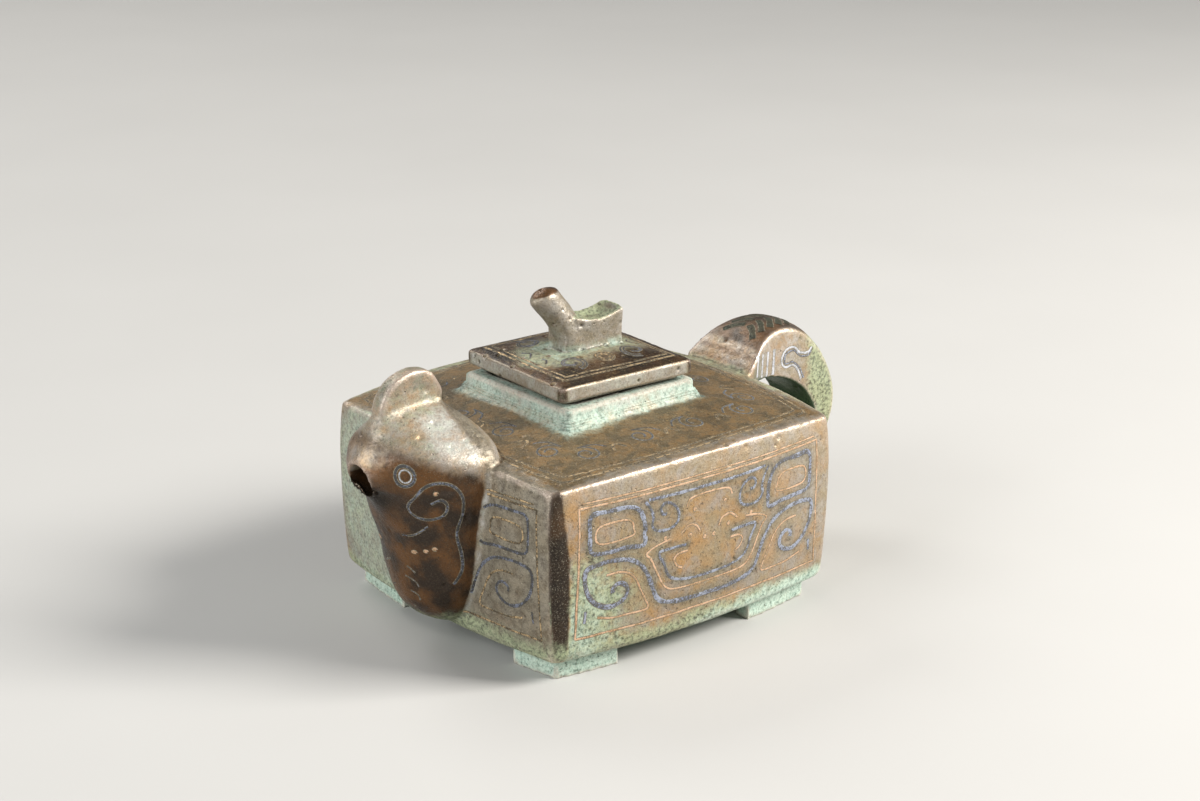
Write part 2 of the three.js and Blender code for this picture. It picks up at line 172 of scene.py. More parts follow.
def spline(rows, count):
    """Rows at even steps along a smooth curve through the given rows."""
    rows = np.asarray(rows, float)
    place = np.linspace(0, len(rows) - 1, count)
    start = np.clip(place.astype(int), 0, len(rows) - 2)
    t = (place - start).reshape(-1, *[1] * (rows.ndim - 1))
    before = rows[np.maximum(start - 1, 0)]
    here = rows[start]
    there = rows[start + 1]
    beyond = rows[np.minimum(start + 2, len(rows) - 1)]
    return 0.5 * (2 * here + (there - before) * t
                  + (2 * before - 5 * here + 4 * there - beyond) * t ** 2
                  + (3 * here - before - 3 * there + beyond) * t ** 3)


def smoothstep(value, low, high):
    t = np.clip((np.asarray(value, float) - low) / (high - low), 0, 1)
    return t * t * (3 - 2 * t)


def loft(rings):
    """Points and faces of a closed form through rings of equally many points."""
    rings = np.asarray(rings, float)
    rows, count = rings.shape[:2]
    points = np.concatenate([rings.reshape(-1, 3), rings[:1].mean(1), rings[-1:].mean(1)])
    faces = []
    top = rows * count
    for i in range(count):
        j = (i + 1) % count
        faces.append((top, j, i))
        faces.append((top + 1, top - count + i, top - count + j))
        for row in range(rows - 1):
            a, b = row * count + i, row * count + j
            faces.append((a, b, b + count, a + count))
    return points, faces


def solid(name, *forms):
    """One object holding closed forms, each with its faces outward."""
    mesh = bmesh.new()
    for points, faces in forms:
        part = bmesh.new()
        made = [part.verts.new(p) for p in points]
        for face in faces:
            part.faces.new([made[k] for k in face])
        bmesh.ops.remove_doubles(part, verts=part.verts, dist=1e-5)
        bmesh.ops.recalc_face_normals(part, faces=part.faces)
        if part.calc_volume(signed=True) < 0:
            bmesh.ops.reverse_faces(part, faces=part.faces)
        data = bpy.data.meshes.new(name)
        part.to_mesh(data)
        part.free()
        mesh.from_mesh(data)
        bpy.data.meshes.remove(data)
    data = bpy.data.meshes.new(name)
    mesh.to_mesh(data)
    mesh.free()
    return linked(name, data)


def baked(obj):
    """The object with its modifiers applied."""
    graph = bpy.context.evaluated_depsgraph_get()
    data = bpy.data.meshes.new_from_object(obj.evaluated_get(graph))
    old = obj.data
    obj.modifiers.clear()
    obj.data = data
    bpy.data.meshes.remove(old)
    return obj


def fused(obj, voxel):
    """Overlapping closed forms become one skin."""
    remesh = obj.modifiers.new("fuse", "REMESH")
    remesh.mode = "VOXEL"
    remesh.voxel_size = voxel
    return baked(obj)


def cut(obj, *cutters):
    for cutter in cutters:
        boolean = obj.modifiers.new("cut", "BOOLEAN")
        boolean.operation = "DIFFERENCE"
        boolean.solver = "MANIFOLD"
        boolean.object = cutter
        baked(obj)
        bpy.data.objects.remove(cutter)
    return obj


def read(items, key, width, kind=np.float32):
    """One value of every point or edge of a mesh, as rows."""
    found = np.empty(len(items) * width, kind)
    items.foreach_get(key, found)
    return found.reshape(-1, width)


def points_of(obj):
    return read(obj.data.vertices, "co", 3).astype(float)


def normals_of(obj):
    return read(obj.data.vertex_normals, "vector", 3).astype(float)


def edges_of(obj):
    return read(obj.data.edges, "vertices", 2, np.int32)


def set_points(obj, points):
    obj.data.vertices.foreach_set("co", np.asarray(points, np.float32).ravel())
    obj.data.update()


def linked(name, data):
    """A new object in the scene."""
    made = bpy.data.objects.new(name, data)
    bpy.context.scene.collection.objects.link(made)
    return made


def averaged(values, edges, rounds, share=0.5):
    """Values smoothed over the mesh's edges."""
    flat = values.reshape(len(values), -1)
    degree = np.bincount(edges.ravel(), minlength=len(flat)).astype(float)[:, None]
    for _ in range(rounds):
        total = np.zeros_like(flat)
        for column in range(flat.shape[1]):
            total[:, column] = (
                np.bincount(edges[:, 0], flat[edges[:, 1], column], len(flat))
                + np.bincount(edges[:, 1], flat[edges[:, 0], column], len(flat)))
        flat = flat + share * (total / np.maximum(degree, 1) - flat)
    return flat.reshape(values.shape)


def softened(obj, rounds):
    """Smoothing that keeps the volume: each inward step is followed by one outward."""
    edges = edges_of(obj)
    points = points_of(obj)
    for _ in range(rounds):
        points = averaged(points, edges, 1, 0.6)
        points = averaged(points, edges, 1, -0.5)
    set_points(obj, points)


def thinned(obj, triangles):
    count = sum(len(p.vertices) - 2 for p in obj.data.polygons)
    if count > triangles:
        decimate = obj.modifiers.new("thin", "DECIMATE")
        decimate.ratio = triangles / count
        baked(obj)
    return obj


def wave(points, scale, seed):
    """Smooth noise between about -1 and 1, with features of a given size in mm."""
    lattice = np.random.default_rng(seed).uniform(-1, 1, (32, 32, 32))
    spot = points / scale + 100
    cell = np.floor(spot).astype(int)
    t = spot - cell
    t = t * t * (3 - 2 * t)
    total = np.zeros(len(points))
    for dx in (0, 1):
        for dy in (0, 1):
            for dz in (0, 1):
                weight = (np.abs(1 - dx - t[:, 0]) * np.abs(1 - dy - t[:, 1])
                          * np.abs(1 - dz - t[:, 2]))
                total += weight * lattice[(cell[:, 0] + dx) % 32, (cell[:, 1] + dy) % 32,
                                          (cell[:, 2] + dz) % 32]
    return total


# Body

def pillow_ring(inset, z, lift=0.0):
    """A square outline with bulging sides, whose middles are lifted."""
    half = BODY_HALF - inset
    near = 1 - CORNER_ROUND / half
    u = np.linspace(-near, near, 61)
    swell = 1 - u * u
    side = [(half * a, -half - SIDE_BULGE * s, z + lift * s) for a, s in zip(u, swell)]
    middle = half - CORNER_ROUND
    bow = -half - SIDE_BULGE * (1 - near * near)
    for turn in (-60, -45, -30):
        a = math.radians(turn)
        reach = CORNER_ROUND
        side.append((middle + reach * math.cos(a), bow + reach + reach * math.sin(a), z))
    ring = []
    for turn in range(4):
        c, s = round(math.cos(turn * math.pi / 2)), round(math.sin(turn * math.pi / 2))
        ring += [(c * x - s * y, s * x + c * y, z) for x, y, z in side]
    return np.array(ring)


def side_inset(height):
    waist = BODY_HEIGHT - WAIST_DROP
    if height > waist:
        return TOP_INSET * ((height - waist) / WAIST_DROP) ** 2
    return FOOT_INSET * ((waist - height) / waist) ** 2


def uneven(points):
    """The corner at (-X, -Y) is off the square."""
    points = np.array(points, float)
    x, y = points[..., 0].copy(), points[..., 1].copy()
    shift = CORNER_SHIFT * (1 - x / BODY_HALF) * (1 - y / BODY_HALF) / 4
    points[..., 0] = x - shift
    points[..., 1] = y + shift
    return points


def pillow(wall):
    """The body's outer form, or its cavity when a wall is given."""
    turn_in = CAVITY_ROUND if wall else UNDER_ROUND
    high = BODY_HEIGHT - wall
    rings = []
    for turn in range(0, 91, 10):
        angle = math.radians(turn)
        height = wall + turn_in * (1 - math.cos(angle))
        inset = turn_in * (1 - math.sin(angle))
        rings.append(pillow_ring(wall + side_inset(height) + inset, FOOT_HEIGHT + height))
    for share in np.linspace(0.05, 1, 24):
        height = (wall + turn_in) * (1 - share) + (high - TOP_BEVEL) * share
        lift = TOP_ARCH * float(smoothstep(height / BODY_HEIGHT, 0.4, 1))
        rings.append(pillow_ring(wall + side_inset(height), FOOT_HEIGHT + height, lift))
    rim = pillow_ring(wall + TOP_INSET + TOP_BEVEL, FOOT_HEIGHT + high, TOP_ARCH)
    scale = COLLAR_FOOT_HALF / np.abs(rim[:, :2]).max(1, keepdims=True)
    crown = np.column_stack([
        rim[:, :2] * scale + COLLAR_AT, np.full(len(rim), FOOT_HEIGHT + high + SHOULDER_RISE)])
    rings += [rim * (1 - share) + crown * share for share in np.linspace(0, 1, 16)]
    return loft(uneven(rings))


def square_ring(half, turn_in, z, steps=6):
    ring = []
    for corner in range(4):
        start = corner * math.pi / 2
        middle = start + math.pi / 4
        cx = math.sqrt(2) * (half - turn_in) * math.cos(middle)
        cy = math.sqrt(2) * (half - turn_in) * math.sin(middle)
        for i in range(steps + 1):
            angle = start + i / steps * math.pi / 2
            ring.append((cx + turn_in * math.cos(angle), cy + turn_in * math.sin(angle), z))
    return np.array(ring)


def tower(rows, turn_in):
    """Rows of (half side, height) as a square form over the collar's centre."""
    rings = np.array([square_ring(half, turn_in, z) for half, z in rows])
    return loft(rings + (*COLLAR_AT, 0))


def bracket(legs, turn):
    """A foot under one corner, of two legs along the walls."""
    outer = BODY_HALF - FOOT_INSET - FOOT_SETBACK
    inner = outer - FOOT_THICK

    def leg(edge, length):
        along = np.linspace(edge, outer - length, 9)
        return [(-a, -edge - SIDE_BULGE * (1 - (a / outer) ** 2)) for a in along]

    def other(edge, length):
        return [(y, x) for x, y in leg(edge, length)]

    spots = leg(outer, legs[0])[::-1] + other(outer, legs[1])[1:]
    spots += other(inner, legs[1])[::-1] + leg(inner, legs[0])[1:]
    flat = np.array(spots)
    angle = turn * math.pi / 2
    c, s = round(math.cos(angle)), round(math.sin(angle))
    flat = flat @ np.array([[c, s], [-s, c]])
    rings = [np.column_stack([flat, np.full(len(flat), z)])
             for z in (0.0, FOOT_HEIGHT + WALL / 2)]
    return extruded(uneven(rings))


def extruded(rings):
    """A form between two flat outlines of any shape."""
    rings = np.asarray(rings)
    count = len(rings[0])
    points = rings.reshape(-1, 3)
    faces = [tuple(range(count)), tuple(range(2 * count - 1, count - 1, -1))]
    for i in range(count):
        j = (i + 1) % count
        faces.append((i, j, j + count, i + count))
    return points, faces


# Spout: soft hollows and swellings of the head, as x, out from its middle, z, radius, depth
HEAD_HOLLOWS = [
    (-53.0, 5.2, 33.8, 3.6, 1.0), (-56.0, 3.6, 35.0, 2.6, 0.6), (-51.5, 6.0, 27.0, 3.2, -0.4),
    (-57.5, 4.2, 43.5, 2.4, 0.5), (-53.5, 5.0, 44.0, 2.4, -0.35),
]
# Level slices as height, reach, half width, back edge and how pointed the front is
HEAD_SLICES = [
    (0, 0.04, 0.2, 0.8, 2), (0.02, 0.16, 0.34, 0.8, 2), (0.06, 0.3, 0.49, 0.8, 2),
    (0.12, 0.4, 0.6, 1, 2), (0.22, 0.47, 0.72, 1, 2), (0.34, 0.52, 0.81, 1, 2),
    (0.46, 0.6, 0.87, 1, 2), (0.56, 0.71, 0.92, 1, 1.9), (0.64, 0.87, 0.97, 1, 1.7),
    (0.69, 0.99, 1, 1, 1.6), (0.75, 1.02, 1, 1, 1.6), (0.8, 1, 1, 1.15, 1.6),
    (0.84, 0.95, 0.92, 1.15, 1.7), (0.88, 0.88, 0.76, 1, 1.8), (0.92, 0.82, 0.56, 0.75, 1.9),
    (0.96, 0.77, 0.36, 0.4, 2), (1, 0.7, 0.14, 0, 2),
]
CREST_OUTLINE = [
    (0.1, 0), (0.66, 0), (0.72, 0.27), (0.68, 0.56), (0.57, 0.82),
    (0.42, 0.96), (0.28, 1), (0.13, 0.95), (0.02, 0.76), (-0.06, 0.38),
]


def head():
    rings = []
    angle = np.linspace(0, 2 * math.pi, 120, endpoint=False)
    along, across = np.cos(angle), np.sin(angle)
    for height, reach, width, back, point in spline(HEAD_SLICES, 110):
        front = max(reach, 0.01) * HEAD_REACH
        power = np.where(along > 0, 2 / point, 2 / HEAD_BACK_POWER)
        depth = np.where(along > 0, front, max(back, 0.01) * HEAD_ROOT_DEPTH)
        x = np.sign(along) * np.abs(along) ** power * depth
        y = np.sign(across) * np.abs(across) ** power * max(width, 0.05) * HEAD_HALF_WIDTH
        z = BODY_TOP - HEAD_DROP + height * HEAD_HEIGHT
        rings.append(np.column_stack([-END_WALL - x, HEAD_Y + y, np.full(len(x), z)]))
    return loft(rings)


def crest():
    closed = CREST_OUTLINE[-2:] + CREST_OUTLINE + CREST_OUTLINE[:2]
    outline = spline(closed, 12 * (len(closed) - 1) + 1)[12 * 2:12 * (2 + len(CREST_OUTLINE))]
    flat = np.column_stack([
        -END_WALL - outline[:, 0] * HEAD_REACH, np.zeros(len(outline)),
        CROWN_LEVEL - CREST_SUNK + outline[:, 1] * CREST_HEIGHT])
    half = CREST_THICK / 2
    middle = flat.mean(0)
    rings = []
    for across, shrink in ((-1, 0.93), (-0.86, 0.985), (-0.5, 1), (0.5, 1), (0.86, 0.985), (1, 0.93)):
        ring = middle + (flat - middle) * shrink
        ring[:, 1] = HEAD_Y + across * half
        rings.append(ring)
    return loft(rings)


def bore():
    tip = END_WALL + HEAD_REACH + EMBED
    rows = [
        (tip, BORE_MOUTH_RADIUS + 0.5), (tip - EMBED - 1.2, BORE_MOUTH_RADIUS),
        (tip - BORE_MOUTH_DEPTH, BORE_RADIUS), (END_WALL - WALL - 2, BORE_RADIUS),
        (END_WALL - WALL - 4.5, BORE_RADIUS * 0.6)]
    angle = np.linspace(0, 2 * math.pi, 40, endpoint=False)
    rings = [np.column_stack([
        np.full(40, -x), HEAD_Y + r * np.cos(angle),
        BODY_TOP - BORE_LEVEL + r * np.sin(angle)]) for x, r in rows]
    return loft(rings)


# Handle: stations round the loop, each an outer edge and a hole edge, as shares
LOOP_STATIONS = [
    [(-0.06, 0.79), (-0.06, 0.73)], [(0.01, 0.86), (0.01, 0.755)], [(0.1, 0.92), (0.09, 0.765)],
    [(0.2, 0.97), (0.18, 0.765)], [(0.34, 1), (0.29, 0.755)], [(0.5, 1), (0.42, 0.735)],
    [(0.66, 0.955), (0.54, 0.7)], [(0.79, 0.87), (0.65, 0.645)], [(0.9, 0.76), (0.73, 0.58)],
    [(0.97, 0.645), (0.785, 0.51)], [(1, 0.54), (0.81, 0.45)], [(0.98, 0.42), (0.8, 0.38)],
    [(0.88, 0.28), (0.71, 0.28)], [(0.67, 0.14), (0.54, 0.21)], [(0.4, 0.05), (0.34, 0.18)],
    [(0.15, 0.01), (0.14, 0.17)], [(-0.06, 0), (-0.06, 0.17)],
]


def handle():
    rings = []
    stations = spline(LOOP_STATIONS, 130)
    tall = HANDLE_RISE + HANDLE_DROP
    for index, station in enumerate(stations):
        share = index / (len(stations) - 1)
        spots = [np.array([END_WALL + reach * HANDLE_REACH, 0,
                           BODY_TOP - HANDLE_DROP + height * tall]) for reach, height in station]
        edge, hole = spots
        outward = (edge - hole) / np.linalg.norm(edge - hole)
        past = float(smoothstep(share, 0.05, 0.3))
        crown = HANDLE_CROWN * past * (1 - float(smoothstep(share, 0.8, 1)))
        half = (HANDLE_ROOT_WIDTH * (1 - past) + HANDLE_WIDTH * past) / 2
        side = np.array([0, half, 0])
        ring = [hole * (1 - t) + edge * t - side for t in np.linspace(0, 1, 9)]
        for across in np.linspace(-0.96, 0.96, 25):
            rise = crown * math.sqrt(1 - across * across)
            ring.append(edge + outward * rise + side * across)
        ring += [hole * (1 - t) + edge * t + side for t in np.linspace(1, 0, 9)]
        rings.append(np.array(ring) + (0, HANDLE_Y, 0))
    return loft(rings)


# Knob: the bird's back by station, as along, foot, rim, rim's height and floor of its hollow
BIRD_STATIONS = [
    (-0.55, 0.3, 0.3, 0.4, 0.36), (-0.4, 0.8, 0.85, 0.5, 0.46), (-0.2, 0.95, 1, 0.5, 0.42),
    (0.05, 0.94, 1.05, 0.46, 0.36), (0.35, 0.89, 1.03, 0.45, 0.35), (0.65, 0.84, 1, 0.48, 0.38),
    (0.86, 0.8, 1, 0.52, 0.43), (0.95, 0.78, 1, 0.54, 0.54), (1, 0.78, 1, 0.54, 0.58),
]
# Its neck by level, as keel, flank and back, each along and up, and a width
BIRD_NECK = [
    [(-0.37, -0.06), (-0.2, -0.06), (0, -0.06), (0.98, 0)],
    [(-0.5, 0.2), (-0.28, 0.22), (-0.02, 0.24), (0.96, 0)],
    [(-0.62, 0.38), (-0.4, 0.43), (-0.08, 0.48), (0.88, 0)],
    [(-0.75, 0.53), (-0.52, 0.62), (-0.22, 0.69), (0.78, 0)],
    [(-0.89, 0.67), (-0.64, 0.77), (-0.37, 0.85), (0.72, 0)],
    [(-0.98, 0.78), (-0.74, 0.9), (-0.46, 0.96), (0.66, 0)],
    [(-0.95, 0.86), (-0.76, 0.95), (-0.54, 0.99), (0.48, 0)],
    [(-0.86, 0.92), (-0.76, 0.975), (-0.64, 0.995), (0.2, 0)],
]


def bird_body():
    rings = []
    for along, foot, rim, top, floor in spline(BIRD_STATIONS, 50):
        half = rim * BIRD_HALF_WIDTH
        high = LID_TOP + top * BIRD_HEIGHT
        low = LID_TOP + floor * BIRD_HEIGHT
        inner = half - BIRD_RIM
        side = [(foot * BIRD_HALF_WIDTH, LID_TOP - EMBED), (half, high)]
        hollow = np.linspace(0, math.pi / 2, 7)
        side += [(inner * math.cos(a), high - (high - low) * math.sin(a)) for a in hollow]
        ring = side + [(-y, z) for y, z in side[-2::-1]]
        rings.append([(along * BIRD_TAIL_REACH, y, z) for y, z in ring])
    return loft(rings)


def bird_neck():
    rings = []
    for keel, wide, back, (width, _) in spline(BIRD_NECK, 50):
        half = []
        for t in np.linspace(0, 1, 24):
            middle = (1 - t) ** 2 * keel + 2 * t * (1 - t) * wide + t * t * back
            swell = width * math.sin(math.pi * t) ** 0.62
            half.append((middle, swell))
        ring = half + [(spot, -swell) for spot, swell in half[-2:0:-1]]
        rings.append([(spot[0] * BIRD_BEAK_REACH, swell * BIRD_HALF_WIDTH,
                       LID_TOP + spot[1] * BIRD_HEIGHT) for spot, swell in ring])
    return loft(rings)


def bird_saddle():
    """Fills the crease where the neck grows out of the back."""
    rings = []
    for share in np.linspace(0, 1, 10):
        along = -5.6 + 4.4 * share
        half = BIRD_HALF_WIDTH * (0.86 + 0.12 * math.sin(math.pi * share))
        top = LID_TOP + BIRD_HEIGHT * (0.56 - 0.12 * share)
        middle = (LID_TOP - EMBED + top) / 2
        rings.append([(along, half * math.copysign(abs(math.cos(a)) ** 0.7, math.cos(a)),
                       middle + (top - middle) * math.copysign(abs(math.sin(a)) ** 0.7, math.sin(a)))
                      for a in np.linspace(0, 2 * math.pi, 32, endpoint=False)])
    return loft(rings)


def lid_plate():
    rows = [
        (FLANGE_HALF, COLLAR_RIM - FLANGE_DEPTH, LID_ROUND),
        (FLANGE_HALF, COLLAR_RIM + REST_GAP, LID_ROUND),
        (LID_HALF - SEAT_INSET, COLLAR_RIM + REST_GAP, LID_ROUND),
        (LID_HALF - SEAT_INSET, PLATE_UNDER, LID_ROUND),
        (LID_HALF - LID_BEVEL, PLATE_UNDER, LID_ROUND),
        (LID_HALF, PLATE_UNDER + LID_BEVEL, LID_ROUND),
        (LID_HALF, PLATE_TOP - LID_BEVEL, LID_ROUND),
        (LID_HALF - LID_BEVEL, PLATE_TOP, LID_ROUND)]
    for share in np.linspace(0.95, 0.05, 16):
        rows.append((LID_HALF * share, PLATE_TOP + LID_DOME * (1 - share ** 2), LID_ROUND * share))
    return loft([square_ring(half, turn_in, z) for half, z, turn_in in rows])


def turned(points):
    """From the lid's own axes to the body's."""
    c, s = math.cos(LID_TURN), math.sin(LID_TURN)
    points = np.asarray(points, float)
    flat = points[..., :2] @ np.array([[c, s], [-s, c]]) + COLLAR_AT
    return np.concatenate([flat, points[..., 2:]], -1)


# Casting unevenness, wear and pits, as mesh
VESSEL_PITS = 700
LID_PITS = 160
PIT_DEPTH = 0.45
PIT_WIDE = 0.7
# Waves in the cast skin, as depth and size
UNEVENNESS = [(0.10, 9.0), (0.045, 3.6), (0.02, 1.5)]


def search_tree(points):
    tree = KDTree(len(points))
    for index, point in enumerate(points):
        tree.insert(point, index)
    tree.balance()
    return tree


def pitted(points, spots):
    """How far each point sinks: small round pits at given places with given radii."""
    sink = np.zeros(len(points))
    tree = search_tree(points)
    for centre, radius in spots:
        for _, index, distance in tree.find_range(centre, radius):
            share = 1 - (distance / radius) ** 2
            sink[index] = max(sink[index], PIT_DEPTH * min(radius, PIT_WIDE) * share)
    return sink


def scattered_pits(points, count, seed):
    chance = np.random.default_rng(seed)
    chosen = chance.choice(len(points), count, replace=False)
    return [(points[k], float(r)) for k, r in zip(chosen, chance.uniform(0.25, 0.75, count))]


def dented(obj, places):
    """Soft hollows (or swellings where the depth is below 0), as (centre, radius, depth)."""
    points = points_of(obj)
    push = np.zeros(len(points))
    for centre, radius, depth in places:
        push += depth * np.exp(-((points - centre) ** 2).sum(1) / radius ** 2)
    set_points(obj, points - normals_of(obj) * push[:, None])


def aged(obj, pits, seed):
    """Casting unevenness, a slight waviness and pits in the skin."""
    points = points_of(obj)
    normals = normals_of(obj)
    uneven_cast = sum(depth * wave(points, size, seed + step)
                      for step, (depth, size) in enumerate(UNEVENNESS))
    sink = pitted(points, scattered_pits(points, pits, seed + 3))
    set_points(obj, points + normals * (uneven_cast - sink)[:, None])


def vessel_skin():
    shell = solid(
        "vessel_skin", pillow(0.0),
        tower([(COLLAR_FOOT_HALF, COLLAR_BASE - WALL / 2), (COLLAR_FOOT_HALF, COLLAR_BASE + 0.4),
               (COLLAR_HALF + 0.1, COLLAR_BASE + 1.5), (COLLAR_HALF, COLLAR_RIM - LID_BEVEL),
               (COLLAR_HALF - LID_BEVEL, COLLAR_RIM)], COLLAR_ROUND),
        head(), crest(), handle(),
        bracket((FOOT_LEG_END, FOOT_LEG_SIDE), 0),
        *[bracket((FOOT_LEG, FOOT_LEG), turn) for turn in (1, 2, 3)])
    fused(shell, VESSEL_VOXEL)
    cut(shell, solid("cavity", pillow(WALL)),
        solid("mouth", tower([(MOUTH_HALF, BODY_TOP - WALL - EMBED),
                              (MOUTH_HALF, COLLAR_RIM + EMBED)], MOUTH_ROUND)),
        solid("bore", bore()))
    fused(shell, VESSEL_VOXEL)
    softened(shell, FUSE_ROUNDS)
    dented(shell, [((x, HEAD_Y + side * out, z), radius, depth) for side in (-1, 1)
                   for x, out, z, radius, depth in HEAD_HOLLOWS])
    aged(shell, VESSEL_PITS, 21)
    return thinned(shell, VESSEL_TRIANGLES)


def lid_skin():
    shell = solid("lid_skin", lid_plate(), bird_body(), bird_neck(), bird_saddle())
    fused(shell, LID_VOXEL)
    pocket_half = FLANGE_HALF - FLANGE_THICK
    cut(shell, solid("pocket", loft([
        square_ring(pocket_half, LID_ROUND, z)
        for z in (COLLAR_RIM - FLANGE_DEPTH - EMBED, PLATE_UNDER)])))
    fused(shell, LID_VOXEL)
    softened(shell, FUSE_ROUNDS)
    points = points_of(shell)
    even = averaged(points, edges_of(shell), BIRD_SOFTENING)
    share = 0.85 * smoothstep(points[:, 2], LID_TOP - 0.4, LID_TOP + 2.5)[:, None]
    set_points(shell, turned(points + share * (even - points)))
    aged(shell, LID_PITS, 51)
    return thinned(shell, LID_TRIANGLES)


# Inlaid wire: lines on the skins, as (metal, width in mm, points), drawn flat on each face

GOLD_WIDTH = 0.38
SILVER_WIDTH = 0.9
FINE_SILVER_WIDTH = 0.55
STUD_WIDTH = 0.5
GROOVE_EDGE = 0.13
# How high the strips of wire and groove are, as shares of their half width, and how far in mm they
# stand off the skin, so that they show although on the object they are flush
WIRE_RISE = 0.10
WIRE_LIFT = 0.03
GROOVE_RISE = 0.05
GROOVE_LIFT = 0.01
WIRE_STEP = 0.4
WIRE_WOBBLE = 0.10
DULLED_WIDTH = 0.7
HALO_FROM = 0.22
HALO_REACH = 2.1


def curve(points, closed=False, step=WIRE_STEP):
    """A smooth line through flat points, at even small steps."""
    points = np.asarray(points, float)
    if closed:
        points = np.concatenate([points[-1:], points, points[:2]])
        fine = spline(points, 24 * (len(points) - 1) + 1)[24:-24]
    else:
        fine = spline(points, 24 * (len(points) - 1) + 1)
    lengths = np.r_[0, np.cumsum(np.linalg.norm(np.diff(fine, axis=0), axis=1))]
    even = np.linspace(0, lengths[-1], max(int(lengths[-1] / step), 3) + 1)
    return np.column_stack([np.interp(even, lengths, fine[:, k]) for k in range(2)])


def straight(points, closed=False, step=WIRE_STEP):
    """A line with corners, at even small steps."""
    points = np.asarray(points, float)
    if closed:
        points = np.concatenate([points, points[:1]])
    pieces = []
    for a, b in zip(points[:-1], points[1:]):
        count = max(int(np.linalg.norm(b - a) / step), 2)
        pieces.append(a + (b - a) * np.linspace(0, 1, count, endpoint=False)[:, None])
    return np.concatenate(pieces + [points[-1:]])


def coil(centre, start_radius, end_radius, start, sweep, squash=1.0):
    """A spiral about a centre, angles in degrees."""
    t = np.linspace(0, 1, int(abs(sweep) / 8) + 3)
    radius = start_radius + (end_radius - start_radius) * t
    angle = np.radians(start + sweep * t)
    return np.column_stack([centre[0] + squash * radius * np.cos(angle),
                            centre[1] + radius * np.sin(angle)])


# The mask-like scroll design of a side, left half, as (along, height)
BOX = [(-28.2, 26.2), (-28.7, 30.0), (-28.2, 33.6), (-24.4, 33.9), (-19.6, 33.7), (-17.2, 32.4),
       (-16.1, 29.8), (-15.9, 27.0), (-16.4, 25.2), (-20.0, 25.6), (-24.3, 25.7)]
BOX_INNER = [(-26.6, 27.8), (-26.8, 31.0), (-21.6, 31.5), (-19.2, 30.8), (-18.7, 29.2), (-19.1, 27.8)]
SWEEP = [(0.0, 11.2), (-5.8, 11.3), (-10.7, 12.0), (-12.8, 13.4), (-14.0, 16.0), (-15.2, 18.8),
         (-16.9, 21.2), (-19.2, 22.8), (-22.0, 23.5), (-26.0, 23.7), (-29.2, 23.0),
         (-29.7, 20.6), (-28.9, 17.8), (-26.9, 15.4), (-24.2, 14.2), (-21.6, 14.6),
         (-20.0, 16.0), (-20.2, 17.7), (-21.8, 18.6), (-23.3, 17.9), (-23.2, 16.9)]
LEAF_INNER = [(-24.8, 20.9), (-22.0, 20.9), (-19.8, 20.2), (-18.0, 18.5), (-16.5, 15.7),
              (-14.9, 12.4)]
LEAF_FOOT = [(-14.9, 12.4), (-15.4, 11.6), (-19.5, 11.6), (-23.0, 11.7), (-26.6, 12.5)]
JAW_OUTER = [(-9.8, 25.0), (-13.5, 24.3), (-15.7, 23.2), (-14.6, 22.0), (-13.4, 19.8),
             (-11.9, 16.6), (-10.1, 14.7), (-6.9, 14.1), (0.0, 13.9)]
JAW = [(-5.9, 22.9), (-9.8, 23.0), (-12.6, 22.7), (-11.3, 20.1), (-10.5, 17.9), (-9.0, 16.5),
       (-6.1, 15.7), (0.0, 15.3)]
JAW_CURL = [(-5.6, 21.6), (-7.8, 21.5), (-9.0, 20.6), (-8.3, 19.0), (-6.9, 18.3)]
BROW_SCROLL = [(-16.0, 33.9), (-14.9, 32.4), (-14.1, 30.4), (-14.3, 28.6), (-13.0, 27.4),
               (-10.4, 27.1), (-8.4, 27.9), (-7.9, 29.8), (-9.0, 31.8), (-11.0, 32.7),
               (-12.3, 31.9), (-11.9, 30.6), (-10.8, 30.4)]
BROW = [(-5.8, 30.6), (-5.0, 32.0), (-1.7, 32.5), (0.0, 32.5)]
CHEEK = [(-7.2, 25.4), (-5.4, 26.7), (-3.4, 26.2), (-2.4, 24.7)]
TOP_LINE = [(-15.2, 34.2), (-7.5, 33.9), (0.0, 33.9)]
STUDS = [(-3.9, 29.7), (-5.0, 24.6), (-1.2, 23.4), (-11.2, 25.4)]
SIDE_FRAME = [(-31.4, 8.9), (-30.8, 35.5), (30.8, 35.5), (31.4, 8.9)]
SIDE_RULE = [(-30.0, 36.4), (30.0, 36.4)]
BOX_TICK = [(-29.5, 12.0), (-29.2, 14.4)]


SIDE_LINES = [
    ("silver", SILVER_WIDTH, BOX, True), ("gold", GOLD_WIDTH, BOX_INNER, True),
    ("silver", SILVER_WIDTH, SWEEP, False), ("gold", GOLD_WIDTH, LEAF_INNER, False),
    ("gold", GOLD_WIDTH, LEAF_FOOT, False), ("gold", GOLD_WIDTH, JAW_OUTER, False),
    ("silver", FINE_SILVER_WIDTH, JAW, False), ("gold", GOLD_WIDTH, JAW_CURL, False),
    ("silver", FINE_SILVER_WIDTH, BROW_SCROLL, False), ("gold", GOLD_WIDTH, BROW, False),
    ("gold", GOLD_WIDTH, CHEEK, False), ("silver", FINE_SILVER_WIDTH, TOP_LINE, False),
    ("silver", FINE_SILVER_WIDTH, BOX_TICK, False),
]


